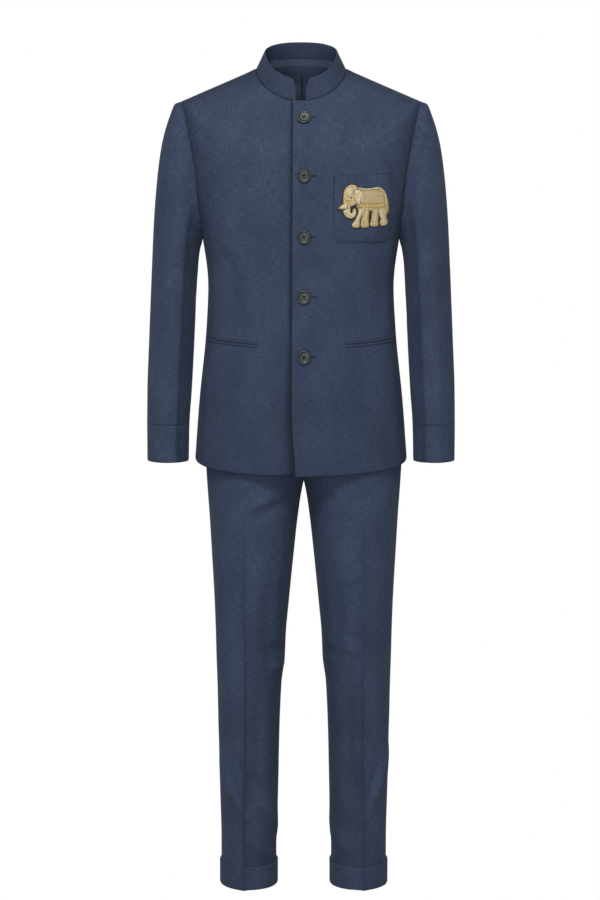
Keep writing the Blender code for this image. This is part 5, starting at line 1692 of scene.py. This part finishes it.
def twisted_cord():
    """A tree of nodes: a two-ply twisted cord along each line."""
    tree, given, fine = start_tree("twisted_cord", "Step", Thickness=0.0, Step=0.0, Turn=0.0)
    count = add_node(tree, "GeometryNodeInputIndex")
    turn = add_node(
        tree, "ShaderNodeMath", {"operation": "MULTIPLY"}, {0: count.outputs[0], 1: given.outputs["Turn"]},
    )
    twisted = add_node(
        tree, "GeometryNodeSetCurveTilt", {}, {"Curve": fine.outputs[0], "Tilt": turn.outputs[0]},
    )
    ring = add_node(tree, "GeometryNodeCurvePrimitiveCircle", {"Resolution": 8, "Radius": 0.5})
    two_ply = add_node(
        tree, "GeometryNodeTransform", {"Scale": (1.0, 0.58, 1.0)}, {"Geometry": ring.outputs["Curve"]},
    )
    body = add_node(
        tree, "GeometryNodeCurveToMesh", {"Fill Caps": True},
        {"Curve": twisted.outputs[0], "Profile Curve": two_ply.outputs[0],
         "Scale": given.outputs["Thickness"]},
    )
    return end_tree(tree, given, body.outputs[0])


couching = twisted_cord()
bound, gimp = [], []
for z in BUTTON_HEIGHTS:
    for x in np.arange(BUTTONHOLE_FROM, BUTTONHOLE_TO, BUTTONHOLE_STEP):
        for side in (1, -1):
            ends = (z + side * BUTTONHOLE_NEAR, z + side * BUTTONHOLE_FAR)
            bound.append([outward_point(chest, x, level, 0.2) for level in np.linspace(*ends, 4)])
    slit = np.linspace(BUTTONHOLE_FROM, BUTTONHOLE_TO, 30)
    gimp.append([outward_point(chest, x, z, 0.12) for x in slit])
    bar = np.linspace(z - BUTTONHOLE_FAR, z + BUTTONHOLE_FAR, 8)
    gimp.append([outward_point(chest, BUTTONHOLE_TO, level, 0.25) for level in bar])
for name, lines, thick, thread in (
    ("buttonhole_stitches", bound, 0.5, navy_thread), ("buttonhole_gimp", gimp, 1.1, dark_thread),
):
    piece = plain_mesh(
        add_line("buttonhole_line", lines), name, couching,
        {"Thickness": thick / 1000, "Step": CORD_STEP / 1000, "Turn": 0.4, "Material": thread},
    )
    sewn_on(piece)


# Elephant
# An ordinary caparisoned elephant, embroidered by hand in gold and beige thread over padding on a dark
# felt, and sewn to the pocket. Each part is filled with satin stitch in its own direction, and twisted
# cord is couched round it. Places are in mm from the elephant's middle.
ELEPHANT_CENTRE = (108.5, -241.5)
THREAD_STEP, PATCH_ROUNDING = 1.25, 3.4
# The dark felt rims round the parts are partly painted shade between them; the ear's is thinner
FELT_SHADE_EDGE, NET_STEP = 1.7, 4.6
EAR_BORDER = 0.5
BORDERLESS = ("body", "saddle cloth", "belly band", "forehead cloth", "cheek")

# Each part: its stitches' direction in degrees, its foot and its dome in mm, its thread, its outline
ELEPHANT_PARTS = (
    ("far hind leg", 88, 0.5, 0.9, "beige", (
        (16.5, -3), (27, -3), (28, -14), (26.5, -24), (27.5, -31), (25, -35), (15.5, -35), (13.5, -31),
        (15.8, -22), (16.6, -12))),
    ("near hind leg", 80, 0.7, 1.2, "pale", (
        (26, 2), (40.5, 6), (43.5, -6), (41.8, -18), (44.5, -28), (41, -34), (32.5, -34.5), (30.3, -29),
        (31.5, -21), (27.8, -12))),
    ("far foreleg", 92, 0.5, 0.9, "beige", (
        (-3, -2), (10, -2), (10.4, -15), (9.6, -26), (10.9, -33), (8, -36.6), (-1.5, -36.6), (-3.6, -30),
        (-2, -22), (-3, -12))),
    ("near foreleg", 62, 0.8, 1.2, "pale", (
        (-9, 3), (4, 1), (3, -8), (-2, -17), (-6, -26), (-5.4, -33), (-8, -36.8), (-17.5, -36.8),
        (-19.3, -32.5), (-15.5, -26), (-10.8, -18), (-7.8, -8))),
    ("body", 20, 0.9, 1.2, "beige", (
        (-10, 32), (2, 31), (14, 30.8), (26, 33.2), (35.5, 29), (41.5, 19), (43.5, 6), (39, -5), (24, -8),
        (8, -7.5), (-6, -6), (-12, 4), (-14, 18))),
    ("head", -62, 1.4, 1.5, "rose", (
        (-33.8, 24), (-30.3, 32), (-22, 37.6), (-12.5, 35.5), (-8, 26), (-8, 13), (-12, 5), (-20, 0.5),
        (-30, -1), (-34.6, 7), (-34.4, 16))),
    ("saddle cloth", 45, 1.9, 0.7, "tan", (
        (-2, 28), (8, 28.2), (20, 28.8), (28.5, 30.2), (35, 24), (38, 13), (38.2, 5), (22, 3.8), (4, 3.8),
        (-2, 6), (-3.5, 16))),
    ("belly band", 8, 2.2, 0.8, "gold", (
        (-7, 3.5), (8, 3), (24, 3), (39, 4), (39.5, -1), (24, -2.2), (8, -2.2), (-6, -2))),
    ("ear", -84, 2.6, 1.1, "pale", (
        (-17.5, 23), (-14.5, 29), (-8, 29.6), (-3, 24.5), (-2.4, 16), (-4.6, 8), (-8.4, 2), (-12.4, 8),
        (-16.2, 15))),
    ("forehead cloth", 30, 2.6, 0.5, "pale", (
        (-30, 29), (-23.5, 34), (-18.5, 31), (-20.5, 22), (-25, 16), (-30, 19))),
    ("cheek", -20, 2.6, 0.8, "gold", (
        (-33.5, 9.5), (-28, 10), (-24.5, 6), (-27, 1.5), (-32, 0.5), (-34.5, 4))),
)

# Parts that are one thick line: the same, then each point with the width there
ELEPHANT_LIMBS = (
    ("tail", 86, 0.7, 0.8, "beige", (
        (39.5, 14, 4.4), (43, 8, 4.0), (44.3, 0, 3.4), (44.8, -7, 3.6), (44.6, -12.5, 2.2))),
    ("trunk", 90, 1.5, 1.5, "pale", (
        (-28.5, 8, 12.5), (-29, 1, 12.0), (-29, -6, 12.2), (-27.5, -12.5, 11.0), (-23, -17, 8.5),
        (-18, -15.5, 7.6), (-15.4, -10.5, 6.6), (-15.6, -5.5, 4.6))),
    ("tusk", 90, 2.6, 0.9, "pale", (
        (-29, 0.5, 9.0), (-33, 0, 10.0), (-37, -1.2, 7.6), (-41.5, -2.5, 4.2), (-45.2, -3.1, 1.2))),
)

# Dark felt between the legs and inside the trunk's curl, as painted shade in these gaps
FELT_SHADE_GAPS = (
    ((9.5, -8), (17, -8), (16.4, -20), (14, -31), (11.5, -31), (10, -20)),
    ((-23.2, -3), (-20, -3.5), (-19.2, -9), (-20.4, -12.5), (-22.4, -12), (-23.2, -8)),
)

# Lines of cord laid over the parts: their height over the pocket, their thread and their points. The bright
# cords paint highlights on the legs, the back and the trunk, and the gold ones on the legs paint the shade
# between them.
ELEPHANT_LINES = (
    (3.8, "gold", ((-33, 13), (-26, 10), (-20, 11))),
    (4.0, "pale", ((-19, 24), (-17.5, 16), (-13, 7), (-9, 1), (-4, -1), (1, 2))),
    (3.6, "bright", ((-3.5, 28), (-2.6, 16), (-3, 5))),
    (3.0, "bright", ((-3, 30), (10, 30), (24, 31.6), (33, 29), (38.6, 21), (40.6, 10), (41, 1))),
    (2.9, "bright", ((1, 0), (-3, -9), (-8, -20), (-12.5, -33))),
    (2.2, "bright", ((7, -4), (6, -16), (5.6, -33))),
    (2.2, "gold", ((1, -8), (0, -20), (0.6, -33))),
    (2.2, "bright", ((20.5, -5), (21.5, -16), (20.5, -32))),
    (2.7, "bright", ((33, -3), (34.5, -12), (38.5, -30))),
    (2.7, "gold", ((38, -3), (38.6, -12), (41, -26))),
    (3.6, "bright", ((-31, 6), (-30.5, -4), (-29, -11), (-24, -16.5))),
)
FRINGE_FROM, FRINGE_TO, FRINGE_COUNT, FRINGE_LONG = 19.0, 37.0, 8, 6.0

# Knots on the forehead and the belly band, then rows of them on the saddle cloth, and the eye
KNOT_PLACES = ((-23.5, 28), (-26, 23), (1, 3), (8, 0.6), (15, 0.6), (22, 0.6), (29, 0.8), (36, 1.4)) + tuple(
    (x + 2.3 * (row % 2), z)
    for row, z in enumerate((9.0, 13.5, 18.0, 22.5))
    for x in (4.0, 8.6, 13.2, 17.8, 22.4, 27.0, 31.6)
)
EYE_PLACE = (-22.5, 15.5)
KNOT_RADIUS, EYE_RADIUS, KNOT_LIFT = 0.85, 1.3, 3.3

# Each kind of cord: its thread and its thickness in mm. The thick bright cord paints highlights.
CORD_MAKE = {
    "pale": ("pale", 1.05), "gold": ("gold", 1.05), "beige": ("beige", 1.05), "bright": ("bright", 2.2),
    "net": ("bright", 0.7),
}


def zari(name, deep, light, shine):
    """Gilt and silk thread laid side by side in satin stitch. Its threads are 0.3 mm thick, too fine to
    show, so they are drawn at 0.75 mm, with worn and tarnished places between bright ones."""
    row = 0.75
    material, tree, shader = start_material(name, {"Metallic": shine, "Specular IOR Level": 0.5})
    mm = cloth_in_mm(tree)
    rows = add_node(
        tree, "ShaderNodeTexWave",
        {"bands_direction": "Y", "Scale": math.pi / 10 / row, "Distortion": 0.8, "Detail": 1.0,
         "Detail Scale": 0.8},
        {"Vector": mm},
    )
    spread = add_node(tree, "ShaderNodeMapping", {"Scale": (0.2, 0.42, 1.0)}, {"Vector": mm})
    worn = add_node(
        tree, "ShaderNodeTexNoise", {"Scale": 1.0, "Detail": 3.0, "Roughness": 0.6},
        {"Vector": spread.outputs[0]},
    )
    patchy = add_node(
        tree, "ShaderNodeMapRange", {"From Min": 0.36, "From Max": 0.62, "To Min": 0.15, "To Max": 1.0},
        {"Value": worn.outputs[0]},
    )
    mixed = add_node(
        tree, "ShaderNodeMath", {"operation": "MULTIPLY"}, {0: rows.outputs["Fac"], 1: patchy.outputs[0]},
    )
    share = add_node(
        tree, "ShaderNodeMapRange", {"From Min": 0.04, "From Max": 0.5}, {"Value": mixed.outputs[0]},
    )
    tree.links.new(blend(tree, share.outputs[0], deep, light), shader.inputs["Base Color"])
    give_relief(tree, shader, rows.outputs["Fac"], 0.7, 0.00025)
    give_roughness(tree, shader, worn.outputs[0], 0.55, 0.32)
    return material


def felt_and_shade():
    """Pressed brown wool felt under the embroidery. Its edge shows as a thin dark line round the parts, which
    is partly painted shade between them.
    """
    material, tree, shader = start_material("brown_felt_and_shade", {"Roughness": 0.95})
    place = add_node(tree, "ShaderNodeTexCoord")
    fluff = add_node(
        tree, "ShaderNodeTexNoise", {"Scale": 1800.0, "Detail": 4.0}, {"Vector": place.outputs["Object"]},
    ).outputs[0]
    tree.links.new(blend(tree, fluff, "#261d16", "#43362a"), shader.inputs["Base Color"])
    give_relief(tree, shader, fluff, 0.6, 0.0003)
    return material


def curve_through(points, closed, step):
    """A smooth curve through the points, its own points a step apart."""
    points = np.array(points, float)
    count = len(points)
    dense = []
    for k in range(count if closed else count - 1):
        near = [k + n for n in (-1, 0, 1, 2)]
        p, q, r, s = (points[n % count if closed else min(max(n, 0), count - 1)] for n in near)
        t = np.linspace(0.0, 1.0, 16, endpoint=False)[:, None]
        dense.append(q + 0.5 * t * (r - p + t * (2 * p - 5 * q + 4 * r - s + t * (3 * (q - r) + s - p))))
    dense = np.concatenate(dense + [points[:1] if closed else points[-1:]])
    lengths = lengths_along(dense[:, :2])
    wanted = np.linspace(0.0, lengths[-1], max(int(lengths[-1] / step), 6) + 1)
    made = np.stack([np.interp(wanted, lengths, column) for column in dense.T], axis=1)
    return made[:-1] if closed else made


def limb_outline(points):
    """The outline of a thick line that is as wide at each point as its third number."""
    line = curve_through(points, False, THREAD_STEP)
    way = np.gradient(line[:, :2], axis=0)
    way /= np.linalg.norm(way, axis=1, keepdims=True)
    beside = np.stack([-way[:, 1], way[:, 0]], axis=1)
    half = line[:, 2:3] / 2
    one, other = line[:, :2] + beside * half, line[:, :2] - beside * half
    cap = line[-1, :2] + way[-1] * half[-1] * 0.8
    return np.concatenate([one, [cap], other[::-1]])


def from_outline(points, line):
    """How far each point lies from a closed line."""
    start, end = line, np.roll(line, -1, axis=0)
    way = end - start
    share = ((points[:, None] - start) * way).sum(-1) / (way**2).sum(-1)
    nearest = start + way * np.clip(share, 0.0, 1.0)[..., None]
    return np.linalg.norm(points[:, None] - nearest, axis=-1).min(axis=1)


def filled(line, step):
    """Triangles that fill a closed line, with points a step apart inside it."""
    low, high = line.min(axis=0), line.max(axis=0)
    spots = [(x, z) for x in np.arange(low[0], high[0], step) for z in np.arange(low[1], high[1], step)]
    spots = np.array(spots)
    spots = spots[from_outline(spots, line) > 0.55 * step]
    edges = [(k, (k + 1) % len(line)) for k in range(len(line))]
    given = [Vector(p) for p in line] + [Vector(p) for p in spots]
    points, _, faces, _, _, _ = delaunay_2d_cdt(given, edges, [list(range(len(line)))], 1, 1e-5)
    used = sorted({k for face in faces for k in face})
    place = {k: n for n, k in enumerate(used)}
    return np.array([points[k] for k in used]), [tuple(place[k] for k in face) for face in faces]


def within(points, line):
    """Which points lie inside a closed line."""
    x, z = points[:, 0], points[:, 1]
    inside = np.zeros(len(points), bool)
    for (x0, z0), (x1, z1) in zip(line, np.roll(line, -1, axis=0)):
        crosses = (z0 > z) != (z1 > z)
        inside ^= crosses & (x < (x1 - x0) * (z - z0) / (z1 - z0 + 1e-12) + x0)
    return inside


class Embroidery:
    """The parts of the motif, which gather in one mesh."""

    def __init__(self, cloth):
        self.cloth = cloth
        self.points, self.faces, self.layout, self.threads = [], [], [], []

    def place(self, x, z, lift):
        """A place on the pocket, moved out from it."""
        spot = (ELEPHANT_CENTRE[0] + x, BEFORE_SUIT, ELEPHANT_CENTRE[1] + z)
        return seated(self.cloth, spot, (0, -1, 0), 0.0) + CHEST_FACING * lift

    def add(self, line, angle, foot, dome, thread):
        """A domed part, filled to its outline, with an edge that goes down to the felt."""
        flat, faces = filled(np.array(line), THREAD_STEP)
        inside = np.minimum(from_outline(flat, np.array(line)) / PATCH_ROUNDING, 1.0)
        start = len(self.points)
        turn = math.radians(angle)
        along = np.array([math.cos(turn), math.sin(turn)])
        across = np.array([-math.sin(turn), math.cos(turn)])
        for (x, z), near in zip(flat, inside):
            self.points.append(self.place(x, z, foot + dome * math.sqrt(near * (2 - near))))
            self.layout.append((np.dot((x, z), along) / 1000, np.dot((x, z), across) / 1000))
        borders = {}
        for face in faces:
            for a, b in zip(face, face[1:] + face[:1]):
                key = frozenset((a, b))
                borders[key] = None if key in borders else (a, b)
        self.faces += [tuple(k + start for k in reversed(face)) for face in faces]
        self.threads += [thread] * len(faces)
        rim = {}
        for edge in filter(None, borders.values()):
            for k in edge:
                if k not in rim:
                    rim[k] = len(self.points)
                    self.points.append(self.place(*flat[k], 0.1))
                    self.layout.append(self.layout[start + k])
            a, b = edge
            self.faces.append((a + start, b + start, rim[b], rim[a]))
            self.threads.append(thread)

    def make(self, name, materials):
        """The mesh, with each face's thread and its layout along the stitches."""
        piece = add_object(name, self.points, self.faces)
        names = list(materials)
        for material in materials.values():
            piece.data.materials.append(material)
        for face, thread in zip(piece.data.polygons, self.threads):
            face.material_index = names.index(thread)
        layer = piece.data.uv_layers.new(name="cloth")
        for loop in piece.data.loops:
            layer.data[loop.index].uv = self.layout[loop.vertex_index]
        return piece


threads = {
    "felt": felt_and_shade(),
    "pale": zari("pale_gold_thread", "#a2874f", "#fff4cf", 0.05),
    "gold": zari("gold_thread", "#8e7034", "#f8df8c", 0.12),
    "beige": zari("beige_thread", "#8b7342", "#f2dfa8", 0.05),
    "tan": zari("tan_thread", "#876c36", "#dcc07c", 0.08),
    "bright": zari("bright_thread_and_highlight", "#d9c48d", "#fffbe9", 0.0),
    "rose": zari("rose_beige_thread", "#9c7b50", "#f2dba9", 0.05),
}
motif = Embroidery(pocket_face)
outlines = [(part[:5], curve_through(part[5], True, THREAD_STEP)) for part in ELEPHANT_PARTS]
outlines += [(part[:5], limb_outline(part[5])) for part in ELEPHANT_LIMBS]
cords = {kind: [] for kind in CORD_MAKE}
for gap in FELT_SHADE_GAPS:
    motif.add(curve_through(gap, True, THREAD_STEP), 0, 0.2, 0.1, "felt")
for (name, angle, foot, dome, thread), line in outlines:
    if name == "saddle cloth":
        for slope in (1, -1):
            for start in np.arange(-60.0, 60.0, NET_STEP):
                run = np.array([(x, slope * x + start) for x in np.arange(-10.0, 42.0, 0.8)])
                run = run[within(run, line)]
                run = run[from_outline(run, line) > 1.2] if len(run) else run
                if len(run) > 5:
                    cords["net"].append([motif.place(x, z, foot + dome + 0.15) for x, z in run])
    middle = line.mean(axis=0)
    ahead = np.roll(line, -1, axis=0) - np.roll(line, 1, axis=0)
    outward = np.stack([ahead[:, 1], -ahead[:, 0]], axis=1)
    outward /= np.maximum(np.linalg.norm(outward, axis=1, keepdims=True), 1e-6)
    if (outward * (line - middle)).sum() < 0:
        outward = -outward
    # A rim of dark felt round the part, partly as painted shade between the parts
    if name not in BORDERLESS:
        border = FELT_SHADE_EDGE * (EAR_BORDER if name == "ear" else 1.0)
        motif.add(line + outward * border, 0, foot + 0.4 if foot > 0.6 else 0.35, 0.1, "felt")
    motif.add(line, angle, foot, dome, thread)
    loop = [motif.place(x, z, foot + 0.25) for x, z in line]
    cords["gold" if thread == "gold" else "beige"].append(loop + loop[:1])
for lift, thread, points in ELEPHANT_LINES:
    cords[thread].append([motif.place(x, z, lift) for x, z in curve_through(points, False, 1.0)])
for x in np.linspace(FRINGE_FROM, FRINGE_TO, FRINGE_COUNT):
    cords["pale"].append([motif.place(x + 0.15 * k, 4.0 + k * FRINGE_LONG / 5, 3.1) for k in range(6)])
elephant = motif.make("elephant_embroidery", threads)
sewn_on(elephant)
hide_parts("elephant_applique")

for kind, lines in cords.items():
    thread, thick = CORD_MAKE[kind]
    cord = plain_mesh(
        add_line("cord_line", lines), f"elephant_{kind}_cord", couching,
        {"Thickness": thick / 1000, "Step": CORD_STEP / 1000, "Turn": 0.55, "Material": threads[thread]},
    )
    cord.data.uv_layers.new(name="cloth")
    sewn_on(cord)

knots = bmesh.new()
for k, (x, z) in enumerate(KNOT_PLACES + (EYE_PLACE,)):
    eye = k == len(KNOT_PLACES)
    radius = EYE_RADIUS if eye else KNOT_RADIUS
    knot = bmesh.ops.create_icosphere(knots, subdivisions=2, radius=radius / 1000)
    bmesh.ops.scale(knots, verts=knot["verts"], vec=(1.0, 0.6, 1.0))
    bmesh.ops.translate(knots, verts=knot["verts"], vec=Vector(motif.place(x, z, KNOT_LIFT)) / 1000)
    for face in {face for vertex in knot["verts"] for face in vertex.link_faces}:
        face.material_index = 1 if eye else 0
        face.smooth = True
mesh = bpy.data.meshes.new("elephant_knots")
knots.to_mesh(mesh)
knots.free()
mesh.materials.append(threads["bright"])
mesh.materials.append(threads["felt"])
mesh.uv_layers.new(name="cloth")
sewn_on(placed("elephant_knots", mesh))
